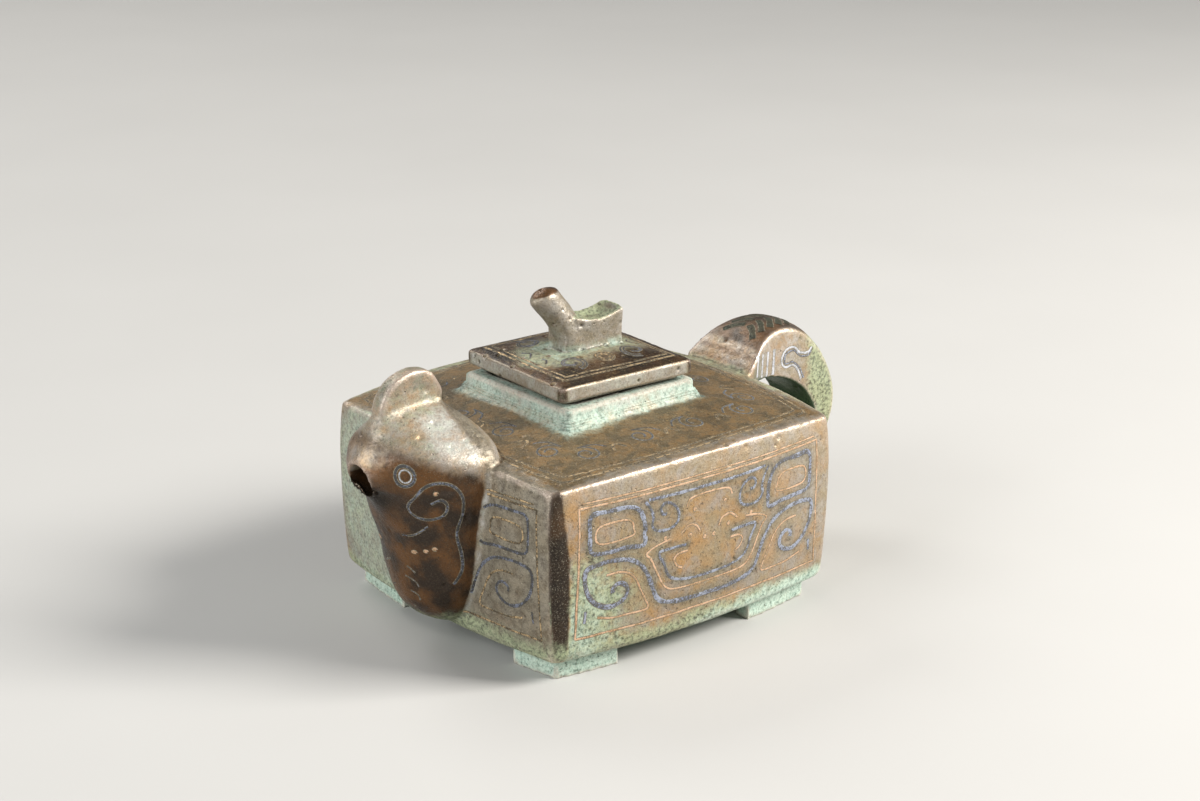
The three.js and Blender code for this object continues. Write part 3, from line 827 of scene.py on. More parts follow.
def side_design():
    """The border, then each line of the mask and its mirror image, then the studs."""
    lines = [("gold", GOLD_WIDTH, straight(SIDE_FRAME, closed=True)),
             ("gold", GOLD_WIDTH * 0.8, straight(SIDE_RULE))]
    for metal, width, points, closed in SIDE_LINES:
        line = straight(points) if len(points) == 2 else curve(points, closed)
        lines += [(metal, width, line), (metal, width, line * (-1, 1))]
    for x, z in STUDS:
        lines += [("gold", STUD_WIDTH, coil((side * x, z), 0.16, 0.16, 0, 330)) for side in (-1, 1)]
    return lines


SQUARE = [(-1, -1), (1, -1), (1, 1), (-1, 1)]
LID_HOOK = [(11.3, 4.2), (10.2, 2.6), (11.4, 1.0)]


def top_design():
    """Round the collar: a border of two gold wires that bows with the sides, and small scrolls."""
    lines = []
    for inset, metal, width in ((3.9, "gold", GOLD_WIDTH), (5.4, "gold", GOLD_WIDTH * 0.75)):
        ring = pillow_ring(inset, 0.0)[:, :2]
        lines.append((metal, width, straight(ring, closed=True)))
    for turn in range(4):
        a = turn * math.pi / 2
        matrix = np.array([[math.cos(a), math.sin(a)], [-math.sin(a), math.cos(a)]])
        for x in (-20.5, -6.8, 6.8, 20.5):
            way = 1 if x > 0 else -1
            scroll = coil((x, -25.6), 2.9, 0.7, 90, way * 520)
            tail = curve([(x, -22.7), (x - way * 3.4, -23.2), (x - way * 5.2, -25.4)])
            lines.append(("silver", 0.42, scroll @ matrix))
            lines.append(("silver", 0.42, tail @ matrix))
        for x in (-13.6, 0.0, 13.6):
            lines.append(("gold", 0.36, curve([
                (x - 1.6, -27.6), (x, -25.4), (x + 1.6, -27.6)]) @ matrix))
    return lines


def lid_design():
    """Two borders, a double coil and a hook in each corner, and a double ring on two sides."""
    lines = []
    for half, width in ((13.7, GOLD_WIDTH), (12.6, GOLD_WIDTH * 0.8)):
        lines.append(("gold", width, straight(half * np.array(SQUARE), closed=True)))
    for x, y in ((-1, -1), (-1, 1), (1, -1), (1, 1)):
        for radius in (3.3, 2.5):
            lines.append(("silver", 0.44, coil((x * 7.7, y * 7.9), radius, radius * 0.28,
                                               90 * y, x * y * 430)))
        lines.append(("silver", 0.4, curve(np.array(LID_HOOK) * (x, y))))
    for y in (-1, 1):
        lines += [("gold", 0.4, coil((0.2, y * 8.2), radius, radius, 0, 352)) for radius in (1.9, 1.1)]
    return lines


HEAD_SPIRAL = [(-42.9, 16.2), (-41.9, 19.4), (-42.3, 22.7), (-43.7, 27.6), (-43.1, 32.0),
               (-43.5, 35.3), (-45.3, 37.9), (-47.9, 38.8), (-50.2, 37.9), (-51.3, 35.2),
               (-51.0, 32.8), (-49.7, 31.2), (-47.9, 30.9), (-46.2, 32.0), (-46.0, 34.0),
               (-47.2, 35.2), (-48.6, 34.4)]
HEAD_MOUTH = [(-51.2, 27.6), (-50.2, 26.4), (-49.3, 27.0), (-48.0, 29.2)]
HEAD_EYE = (-52.8, 40.3)


def head_design():
    lines = [
        ("silver", 0.7, coil(HEAD_EYE, 2.0, 2.0, 0, 356, 0.66)),
        ("bright", 0.22, coil(HEAD_EYE, 1.25, 1.25, 0, 356, 0.66)),
        ("silver", 0.72, curve(HEAD_SPIRAL)),
        ("silver", 0.45, curve(HEAD_MOUTH)),
    ]
    for x, z in ((-48.4, 22.7), (-47.4, 23.3), (-46.5, 24.0), (-48.2, 36.6)):
        lines.append(("gold", 0.5, coil((x, z), 0.14, 0.14, 0, 330)))
    for step in range(4):
        z = 20.5 - 3.1 * step
        lines.append(("silver", 0.2, curve([
            (-49.9 + 0.8 * step, z), (-48.4 + 0.8 * step, z - 1.2), (-47.6 + 0.7 * step, z - 2.6)])))
    return lines


def handle_side_design():
    lines = [("bright", 0.75, straight([(x, low), (x + 0.3, 43.4)]))
             for x, low in ((41.8, 39.0), (44.0, 38.3), (46.2, 37.8), (48.5, 37.6))]
    for metal, width, inset in (("bright", 0.5, 0.0), ("silver", 0.34, 0.75)):
        lines.append((metal, width, curve([
            (60.1, 41.6 - inset), (58.9, 40.6 - inset), (56.6, 41.0 - inset), (54.8, 42.6 - inset),
            (52.7 + inset / 2, 42.5 - inset), (51.4 + inset, 41.2), (51.3 + inset, 39.5),
            (52.4 + inset, 38.5 + inset), (54.4, 38.6 + inset), (55.8 + inset, 37.4),
            (57.0 + inset, 35.0)])))
    return lines


def handle_crown_design():
    """Feather-like strokes over the top of the loop, as (along, across)."""
    lines = []
    for step in range(5):
        x = 45.4 + 2.5 * step
        for side in (-1, 1):
            lines.append(("dark", 1.3, curve([
                (x + 1.8, HANDLE_Y + side * 0.6), (x + 0.9, HANDLE_Y + side * 2.4),
                (x - 1.0, HANDLE_Y + side * 4.6)])))
    return lines


FAR_OUT = 90.0
NEAR_SKIN = BODY_HALF - 2.5
WALL_FACE = END_WALL + 0.35
# Beyond this the crust on the spout's wall covers the inlay
CRUST_FROM = 8.0
# The kinds of wire that have gone dull on a face
WELL_KEPT = {}
DULLED = {"silver": "worn_silver", "gold": "worn_gold"}
DARKENED = {"silver": "worn_silver"}
# Each face: its design, which way it is looked at, the limits within which hits count, and the
# kinds of wire that have gone dull there
SKIN_FACES = [
    (side_design, (0, 1, 0), {"y": (-FAR_OUT, -NEAR_SKIN)}, WELL_KEPT),
    (side_design, (0, -1, 0), {"y": (NEAR_SKIN, FAR_OUT)}, WELL_KEPT),
    (side_design, (1, 0, 0), {"x": (-WALL_FACE, -NEAR_SKIN), "y": (-FAR_OUT, CRUST_FROM)}, DULLED),
    (side_design, (-1, 0, 0), {"x": (NEAR_SKIN, WALL_FACE)}, DULLED),
    (top_design, (0, 0, -1),
     {"x": (-END_WALL, END_WALL), "z": (BODY_TOP - 1, COLLAR_BASE + 0.1)}, DULLED),
    (head_design, (0, 1, 0), {"x": (-FAR_OUT, -END_WALL)}, DARKENED),
    (head_design, (0, -1, 0), {"x": (-FAR_OUT, -END_WALL)}, DARKENED),
    (handle_side_design, (0, 1, 0), {"x": (END_WALL + 0.5, FAR_OUT)}, WELL_KEPT),
    (handle_side_design, (0, -1, 0), {"x": (END_WALL + 0.5, FAR_OUT)}, WELL_KEPT),
    (handle_crown_design, (0, 0, -1), {"z": (BODY_TOP + 3, FAR_OUT)}, WELL_KEPT),
]
LID_FACES = [(lid_design, (0, 0, -1), {"z": (PLATE_TOP - 0.2, LID_TOP + 0.5)}, DULLED)]


def runs_on(skin, starts, toward, limits):
    """The stretches of a line that rays from its points find on the skin, as (place, normal)."""
    found, run = [], []
    toward = Vector(toward)
    for start in starts:
        hit, normal, _, _ = skin.ray_cast(Vector(start), toward)
        if (hit is not None and normal.dot(toward) < -0.12
                and all(low < getattr(hit, axis) < high for axis, (low, high) in limits.items())):
            run.append((hit, normal))
        else:
            found.append(run)
            run = []
    found.append(run)
    return [run for run in found if len(run) > 2]


def gather(obj, faces, to_body):
    """Wire runs by kind, each a list of (place, normal, radius); normals are evened over a wire."""
    skin = BVHTree.FromObject(obj, bpy.context.evaluated_depsgraph_get())
    normals = averaged(normals_of(obj), edges_of(obj), 3)
    near = search_tree(points_of(obj))
    wires = {}
    for number, (design, toward, limits, dulled) in enumerate(faces):
        free = [axis for axis in range(3) if not toward[axis]]
        for line, (metal, width, points) in enumerate(design()):
            flat = np.column_stack([points, np.full(len(points), number * 7.0 + line)])
            starts = np.tile(-FAR_OUT * np.array(toward, float), (len(points), 1))
            starts[:, free] = points + WIRE_WOBBLE * np.column_stack([
                wave(flat, 4.0, 5), wave(flat, 4.0, 6)])
            thin = DULLED_WIDTH if metal == "silver" and dulled else 1.0
            for run in runs_on(skin, to_body(starts), toward, limits):
                spots = np.array([hit for hit, _ in run])
                even = np.array([normals[near.find(hit)[1]] for hit, _ in run])
                lean = 1 + 0.25 * wave(spots, 1.3, 9)
                wires.setdefault(dulled.get(metal, metal), []).append(
                    (spots, even, 0.5 * width * thin * lean))
    return wires


def add(tree, kind, links=(), **settings):
    """One node with its settings; links are (input, socket or value) pairs."""
    node = tree.nodes.new(kind)
    for name, value in settings.items():
        setattr(node, name, value)
    for key, value in links:
        if isinstance(value, bpy.types.NodeSocket):
            tree.links.new(value, node.inputs[key])
        else:
            node.inputs[key].default_value = value
    return node


def wire_tree():
    """Sweeps a low rounded strip along each line, flat on the skin, in the given metal."""
    tree = bpy.data.node_groups.new("inlaid_wire", "GeometryNodeTree")
    tree.is_modifier = True
    for name, kind in (("Lines", "Geometry"), ("Rise", "Float"), ("Extra Width", "Float"),
                       ("Lift", "Float"), ("Metal", "Material")):
        tree.interface.new_socket(name, in_out="INPUT", socket_type="NodeSocket" + kind)
    tree.interface.new_socket("Wire", in_out="OUTPUT", socket_type="NodeSocketGeometry")
    given = add(tree, "NodeGroupInput").outputs
    normal = add(tree, "GeometryNodeInputNamedAttribute", [("Name", "skin_normal")],
                 data_type="FLOAT_VECTOR").outputs["Attribute"]
    radius = add(tree, "GeometryNodeInputNamedAttribute", [("Name", "wire_radius")],
                 data_type="FLOAT").outputs["Attribute"]
    lift = add(tree, "ShaderNodeVectorMath", [(0, normal), ("Scale", given["Lift"])],
               operation="SCALE").outputs["Vector"]
    raised = add(tree, "GeometryNodeSetPosition",
                 [("Geometry", given["Lines"]), ("Offset", lift)]).outputs["Geometry"]
    line = add(tree, "GeometryNodeMeshToCurve", [("Mesh", raised)]).outputs["Curve"]
    tilted = add(tree, "GeometryNodeSetCurveNormal", [("Curve", line), ("Normal", normal)],
                 mode="FREE").outputs["Curve"]
    wide = add(tree, "ShaderNodeMath", [(0, radius), (1, given["Extra Width"])],
               operation="ADD").outputs["Value"]
    sized = add(tree, "GeometryNodeSetCurveRadius",
                [("Curve", tilted), ("Radius", wide)]).outputs["Curve"]
    arc = add(tree, "GeometryNodeCurveArc", [
        ("Resolution", 5), ("Radius", 1.0), ("Start Angle", -math.pi / 2),
        ("Sweep Angle", math.pi)], mode="RADIUS").outputs["Curve"]
    flat = add(tree, "ShaderNodeCombineXYZ", [("X", given["Rise"]), ("Y", 1.0), ("Z", 1.0)])
    profile = add(tree, "GeometryNodeTransform", [
        ("Geometry", arc), ("Scale", flat.outputs["Vector"])]).outputs["Geometry"]
    sweep = add(tree, "GeometryNodeCurveToMesh",
                [("Curve", sized), ("Profile Curve", profile)])
    if "Scale" in sweep.inputs:
        tree.links.new(wide, sweep.inputs["Scale"])
    whole = add(tree, "GeometryNodeRealizeInstances",
                [("Geometry", sweep.outputs["Mesh"])]).outputs["Geometry"]
    done = add(tree, "GeometryNodeSetMaterial",
               [("Geometry", whole), ("Material", given["Metal"])]).outputs["Geometry"]
    add(tree, "NodeGroupOutput", [("Wire", done)])
    return tree


WIRE_TREE = wire_tree()


def swept(name, runs, material, rise, extra, lift):
    """The runs of one metal as one mesh of swept strips."""
    spots = np.concatenate([run[0] for run in runs])
    normals = np.concatenate([run[1] for run in runs])
    radii = np.concatenate([run[2] for run in runs])
    edges, start = [], 0
    for run in runs:
        edges += [(start + k, start + k + 1) for k in range(len(run[0]) - 1)]
        start += len(run[0])
    data = bpy.data.meshes.new(name)
    data.from_pydata(spots.tolist(), edges, [])
    data.attributes.new("skin_normal", "FLOAT_VECTOR", "POINT").data.foreach_set(
        "vector", normals.astype(np.float32).ravel())
    data.attributes.new("wire_radius", "FLOAT", "POINT").data.foreach_set(
        "value", radii.astype(np.float32))
    made = linked(name, data)
    modifier = made.modifiers.new("wire", "NODES")
    modifier.node_group = WIRE_TREE
    values = {"Rise": rise, "Extra Width": extra, "Lift": lift, "Metal": material}
    for item in WIRE_TREE.interface.items_tree:
        if item.in_out == "INPUT" and item.name in values:
            modifier[item.identifier] = values[item.name]
    return baked(made)


# Zones of patina and wear, and of painted sheen and shade, kept on the skins as colour attributes

def convexity(obj, rounds):
    """How far each point stands out of its surroundings: above 0 on edges, below 0 in grooves."""
    points, edges = points_of(obj), edges_of(obj)
    even = averaged(points, edges, rounds)
    return averaged(((points - even) * normals_of(obj)).sum(1), edges, 2)


def layer(obj, name, columns):
    """Up to three zones as the red, green and blue of one attribute."""
    data = np.zeros((len(obj.data.vertices), 4), np.float32)
    data[:, 3] = 1
    for index, column in enumerate(columns):
        data[:, index] = np.clip(column, 0, 1)
    attribute = obj.data.attributes.new(name, "FLOAT_COLOR", "POINT")
    attribute.data.foreach_set("color", data.ravel())


def wire_halo(obj, wires):
    """The grey film that has spread round the wider silver wires."""
    runs = [spots for kind in ("silver", "worn_silver") for spots, _, radii in wires.get(kind, [])
            if radii.mean() > HALO_FROM]
    if not runs:
        return
    tree = search_tree(np.concatenate(runs))
    distance = np.array([tree.find(point)[2] for point in points_of(obj)])
    layer(obj, "halo", [smoothstep(HALO_REACH - distance, 0, HALO_REACH - 0.4)])


def vessel_zones(obj):
    """Where each kind of patina, wear, painted sheen and painted shade lies on the vessel, as shares
    between 0 and 1.
    """
    points = points_of(obj)
    normals = normals_of(obj)
    x, y, z = points.T
    stand = convexity(obj, 10)
    edge = smoothstep(stand, 0.045, 0.16)
    groove = smoothstep(-stand, 0.03, 0.12)
    loose = wave(points, 12.0, 71)
    # Collar
    collar_out = np.maximum(abs(x - COLLAR_AT[0]), abs(y - COLLAR_AT[1]))
    on_collar = (z > COLLAR_BASE - 1.2) * smoothstep(COLLAR_FOOT_HALF + 1.2 - collar_out, 0, 0.8)
    by_collar = smoothstep(COLLAR_FOOT_HALF + 4.6 + 2.6 * loose - collar_out, 0, 6.5) * (z > BODY_TOP)
    collar_in = np.minimum(abs(x - COLLAR_AT[0]), abs(y - COLLAR_AT[1]))
    collar_corner = smoothstep(collar_in, COLLAR_HALF - 1.7, COLLAR_HALF - 0.5)
    # The collar's top ledge under the lid is painted dark: partly dark patina, partly painted shade of
    # the gap under the lid.
    collar_ledge = (on_collar * smoothstep(normals[:, 2], 0.35, 0.75)
                    * smoothstep(z, COLLAR_RIM - 0.8, COLLAR_RIM - 0.4))
    # Feet and walls
    feet = smoothstep(FOOT_HEIGHT + 0.7 - z, 0, 0.9) * (np.hypot(x, y) > 20)
    outside = np.maximum(abs(x), abs(y)) > BODY_HALF - 1.6
    low_band = smoothstep(FOOT_HEIGHT + 7.5 + 2.0 * loose - z, 0, 7.5) * outside
    near_corner = smoothstep(3.4 + 1.1 * loose - BODY_HALF - x, 0, 1.8) * smoothstep(-y, 33.2, 34.6)
    near_left = (smoothstep(-9 + 5 * loose - x, 0, 22)
                 * smoothstep(34 + 4 * loose - z, 0, 20) * (y < -BODY_HALF + 2))
    # Head
    head_zone = smoothstep(-x, END_WALL - 0.3, END_WALL + 1.2)
    in_bore = smoothstep(BORE_MOUTH_RADIUS + 0.25 - np.hypot(
        y - HEAD_Y, z - BODY_TOP + BORE_LEVEL), 0, 0.3) * (x < -END_WALL - 6)
    fillet = smoothstep(1.7 - abs(-x - END_WALL - 0.2), 0, 1.5) * (z < BODY_TOP + 8) * groove
    head_top = head_zone * smoothstep(z + 0.55 * (x + 50) + 2.2 * loose, BODY_TOP - 0.5, BODY_TOP + 8.0)
    beak_sheen = np.exp(-((x + 57.5) ** 2 + (z - 43.5) ** 2) / 9.0) * head_zone
    on_crest = smoothstep(z, CROWN_LEVEL + 1.5, CROWN_LEVEL + 3.5) * head_zone
    # Painted shade under the beak, where the breast is set back.
    throat_shade = np.exp(-((x + 54) ** 2 + (z - 33.5) ** 2) / 14.0) * head_zone
    # Handle
    handle_zone = smoothstep(x, END_WALL - 0.2, END_WALL + 1.0)
    upper = smoothstep(z, BODY_TOP - 2, BODY_TOP)
    crown = handle_zone * (1 - smoothstep(abs(normals[:, 1]), 0.4, 0.85)) * upper
    # The rim is a painted highlight: pale sheen along the upper side edges of the handle.
    rim = handle_zone * smoothstep(abs(normals[:, 1]), 0.3, 0.6) * edge * upper
    from_wall = x - END_WALL
    root_bands = crown * (np.exp(-((from_wall - 1.2) / 0.6) ** 2)
                          + np.exp(-((from_wall - 3.2) / 0.7) ** 2))
    outer = handle_zone * smoothstep(x + 3 * loose, 55, 62)
    loop = handle_zone * smoothstep(-normals[:, 0] * (x - 49) - normals[:, 2] * (z - 30), 1.0, 5.0)
    # The wall beside the spout, and the well
    spout_wall = smoothstep(-x, BODY_HALF - 1, BODY_HALF + 0.5) * (1 - head_zone)
    # The far part of the spout wall is painted paler: partly pale crust, partly painted light from the
    # left.
    far_part = smoothstep(y + 3 * loose, -4, 16)
    inside = (1 - smoothstep(np.maximum(abs(x), abs(y)), BODY_HALF - WALL - 0.6, BODY_HALF - 1.8)
              ) * (z < BODY_TOP - 1.2)

    mint = np.maximum.reduce([
        on_collar * (0.46 - 0.4 * smoothstep(z, COLLAR_BASE + 0.6, COLLAR_BASE + 1.8))
        * (1 - collar_ledge) * (1 - collar_corner),
        by_collar * 0.62, feet, fillet * 0.3,
        low_band * smoothstep(x + 12 * loose, -20, 30) * 0.85, spout_wall * far_part * 0.3,
        near_left * 0.45 * (1 - near_corner)])
    green = np.maximum.reduce([
        near_left * 0.85 * (1 - near_corner), low_band * 0.8, outer * 0.95, head_top * 0.34,
        smoothstep(y, BODY_HALF - 3, BODY_HALF) * 0.5, inside * 0.6, spout_wall * far_part * 0.5,
        smoothstep(x, BODY_HALF - 2, BODY_HALF) * 0.45 * (1 - handle_zone)])
    dark = np.maximum.reduce([
        head_zone * np.maximum(1 - head_top, 0.32 * smoothstep(-x, 43, 50)), 0.42 * on_crest,
        0.75 * on_collar * collar_corner, 0.95 * collar_ledge,
        groove * 0.6 * (1 - feet) * (1 - head_zone), inside * 0.7,
        near_corner, crown * 0.5 * (1 - root_bands)])
    dark = dark * (1 - 0.9 * fillet) * (1 - in_bore) * (1 - 0.8 * beak_sheen)
    layer(obj, "patina", [mint, green, dark])
    # Silvering is a pale milky patina; this share also holds painted sheen and painted highlights,
    # marked below.
    silvering_and_sheen = np.maximum.reduce([
        handle_zone * (1 - crown) * (1 - outer) * smoothstep(z, 30, 39) * 0.8, head_top * 0.72,
        rim, 0.65 * root_bands, fillet * 0.9,
        # Painted sheen on the head's right slope.
        head_top * smoothstep(x, -54, -45) * smoothstep(BODY_TOP + 14 - z, 0, 5),
        # Painted light on the far part of the spout wall, and a painted highlight on the upper beak.
        in_bore * 0.8, spout_wall * far_part * 0.9, beak_sheen * 0.8,
        on_collar * (0.5 + 0.5 * smoothstep(z, COLLAR_BASE + 0.6, COLLAR_BASE + 2.2))
        * (1 - 0.7 * collar_corner) * (1 - collar_ledge),
        # Painted sheen along the upper walls and on the right of the near face.
        smoothstep(z, BODY_TOP - 7, BODY_TOP) * outside * (1 - spout_wall) * 0.4,
        smoothstep(x + 8 * loose, 2, 32) * (y < -BODY_HALF + 2) * 0.4])
    rubbed = edge * (1 - near_corner) * (1 - 0.8 * on_collar * collar_corner)
    layer(obj, "wear", [rubbed, groove, silvering_and_sheen * (1 - near_corner)])
    layer(obj, "place", [
        smoothstep(normals[:, 2], 0.75, 0.95) * (z > BODY_TOP - 1) * (1 - head_zone) * (1 - handle_zone),
        loop, spout_wall])
    # The darkest brown: painted shade under the beak, and the dark lower part of the near corner.
    beak_shade_and_corner_dark = np.maximum(throat_shade, 0.75 * near_corner * smoothstep(34 + 2 * loose - z, 0, 5))
    layer(obj, "tint", [beak_shade_and_corner_dark, np.maximum(head_zone * (1 - head_top), crown), crown * (1 - root_bands)])


def lid_zones(obj):
    """The same for the lid, whose crust lies round the bird."""
    points = points_of(obj)
    normals = normals_of(obj)
    x, y, z = points.T
    stand = convexity(obj, 12)
    edge = smoothstep(stand, 0.03, 0.11)
    groove = smoothstep(-stand, 0.02, 0.08)
    loose = wave(points, 7.0, 81)
    along = x - COLLAR_AT[0]
    across = y - COLLAR_AT[1]
    from_bird = np.sqrt(np.maximum(abs(along) - BIRD_TAIL_REACH, 0) ** 2
                        + np.maximum(abs(across) - BIRD_HALF_WIDTH, 0) ** 2)
    flat_top = smoothstep(normals[:, 2], 0.8, 0.97) * (z > PLATE_TOP - 0.3) * (z < LID_TOP + 1.5)
    crust = smoothstep(9.5 + 2.2 * loose - from_bird, 0, 8.0) * flat_top
    bird = smoothstep(z, LID_TOP + 0.5, LID_TOP + 1.6)
    bird_foot = smoothstep(LID_TOP + 3.0 - z, 0, 2.6) * (from_bird < 1.5) * (z > LID_TOP - 0.6)
    sides = smoothstep(1 - abs(normals[:, 2]), 0.4, 0.8) * (z < PLATE_TOP)
    corners = (smoothstep(np.hypot(along, across), LID_HALF * 1.33, LID_HALF * 1.38)
               * (z < PLATE_TOP + 0.5))
    hollow = bird * smoothstep(normals[:, 2], 0.3, 0.8) * (along > -4.5) * (z < LID_TOP + 7.5)
    crown = bird * smoothstep(normals[:, 2], 0.45, 0.8) * (along < -4.5) * (z > LID_TOP + 9)
    mint = np.maximum.reduce([crust * 0.12, bird_foot * 0.4, groove * 0.25])
    green = np.maximum.reduce([crust * 0.55, hollow * 0.62, sides * 0.3])
    dark = np.maximum.reduce([flat_top * (1 - 0.8 * crust), crown * 0.85, groove * 0.6, corners * 0.8])
    silvering_and_sheen = np.maximum.reduce([
        bird * (1 - hollow) * (1 - crown) * 0.55, sides * 0.85 * (1 - corners), crust * 0.7,
        bird_foot * 0.6])
    layer(obj, "patina", [mint, green, dark])
    layer(obj, "wear", [edge, groove, silvering_and_sheen])
    layer(obj, "place", [flat_top])
    layer(obj, "tint", [flat_top * (1 - crust) * 0.42, np.maximum(crown, 0.75 * flat_top), corners])


# Materials

def linear(text):
    """An sRGB hex colour as linear values."""
    values = [int(text[k:k + 2], 16) / 255 for k in (0, 2, 4)]
    return (*[v / 12.92 if v <= 0.04045 else ((v + 0.055) / 1.055) ** 2.4 for v in values], 1.0)


class Surface:
    """One material's nodes: named fields, shares made of them, and coats of paint laid by share."""

    def __init__(self, name, noises, zones=()):
        """Noises as (name, size in mm, detail, roughness, distortion); zones by attribute."""
        self.material = bpy.data.materials.new(name)
        self.material.use_nodes = True
        self.tree = self.material.node_tree
        self.tree.nodes.clear()
        self.spot = add(self.tree, "ShaderNodeTexCoord").outputs["Object"]
        self.fields = {}
        for field, size, detail, rough, distortion in noises:
            self.fields[field] = add(self.tree, "ShaderNodeTexNoise", [
                ("Vector", self.spot), ("Scale", 1 / (size * MM)), ("Detail", detail),
                ("Roughness", rough), ("Distortion", distortion)]).outputs["Fac"]
        for attribute, names in zones:
            colour = add(self.tree, "ShaderNodeAttribute", attribute_name=attribute)
            parts = add(self.tree, "ShaderNodeSeparateColor", [("Color", colour.outputs["Color"])])
            self.fields.update(zip(names, parts.outputs))

    def joined(self, *terms, operation="MULTIPLY"):
        """Terms put together, each (field, low, high, start, end) for a soft step of a field
        between two values, or (field, start, end) for a field scaled to a range."""
        total = None
        for field, *limits in terms:
            soft = len(limits) == 4
            low, high, start, end = limits if soft else (0, 1, *limits)
            part = add(self.tree, "ShaderNodeMapRange", [
                ("Value", self.fields.get(field, field)), ("From Min", low), ("From Max", high),
                ("To Min", start), ("To Max", end)],
                interpolation_type="SMOOTHSTEP" if soft else "LINEAR").outputs["Result"]
            total = part if total is None else add(
                self.tree, "ShaderNodeMath", [(0, total), (1, part)],
                operation=operation).outputs["Value"]
        return total

    def torn(self, zone, noise, reach):
        """A zone with a ragged, gradual edge."""
        whole = add(self.tree, "ShaderNodeMath", [
            (0, self.fields[noise]), (1, reach), (2, self.fields[zone])],
            operation="MULTIPLY_ADD").outputs["Value"]
        return self.joined((whole, 0.2 + reach / 2, 0.72 + reach / 2, 0, 1), (zone, 0, 0.25, 0, 1))

    def paint(self, given):
        """Hex text, or two of them mixed as (field, low, high, one, other), or a colour as it is."""
        if isinstance(given, str):
            return linear(given)
        if isinstance(given, tuple):
            field, low, high, one, other = given
            return self.coated(one, ([(field, low, high, 0, 1)], other))
        return given

    def coated(self, ground, *coats):
        """A ground under coats, each the terms of its share and its paint."""
        colour = self.paint(ground)
        for terms, paint in coats:
            colour = add(self.tree, "ShaderNodeMix", [
                (0, self.joined(*terms)), (6, colour), (7, self.paint(paint))],
                data_type="RGBA").outputs[2]
        return colour

    def finished(self, colour, metal, rough, heights):
        """The shader, with heights as (field or share, millimetres), one over another."""
        normal = []
        for value, height in heights:
            bump = add(self.tree, "ShaderNodeBump", [
                ("Height", self.fields.get(value, value)), ("Strength", 1.0),
                ("Distance", height * MM)] + normal)
            normal = [("Normal", bump.outputs["Normal"])]
        shader = add(self.tree, "ShaderNodeBsdfPrincipled", [
            ("Base Color", colour), ("Metallic", metal), ("Roughness", rough)] + normal)
        add(self.tree, "ShaderNodeOutputMaterial", [("Surface", shader.outputs["BSDF"])])
        return self.material


# The clouds and grains of the skin, and the zones kept on it
BRONZE_NOISES = [
    ("cloud", 8.0, 6.0, 0.62, 0.5), ("haze_cloud", 5.0, 7.0, 0.66, 0.8),
    ("blotch", 2.4, 6.0, 0.68, 0.5), ("speck", 0.75, 4.0, 0.7, 0), ("grain", 0.24, 2.0, 0.6, 0),
    ("ragged", 3.6, 8.0, 0.78, 0.3), ("brown_cloud", 6.0, 5.0, 0.55, 0.15),
    ("salt_edge", 2.9, 8.0, 0.76, 0.4), ("grit", 0.4, 4.0, 0.75, 0), ("glint", 0.5, 3.0, 0.7, 0),
]
# The wear's silvering share also holds painted sheen and highlights, and the tint's hollow share holds
# painted shade under the beak.
BRONZE_ZONES = [
    ("patina", ("mint", "green", "dark")), ("wear", ("edge", "groove", "silvering_and_sheen")),
    ("place", ("top", "loop", "spout_wall")), ("tint", ("hollow", "chestnut", "amber")),
    ("halo", ("film",)),
]
PIT_SPACING = 2.6


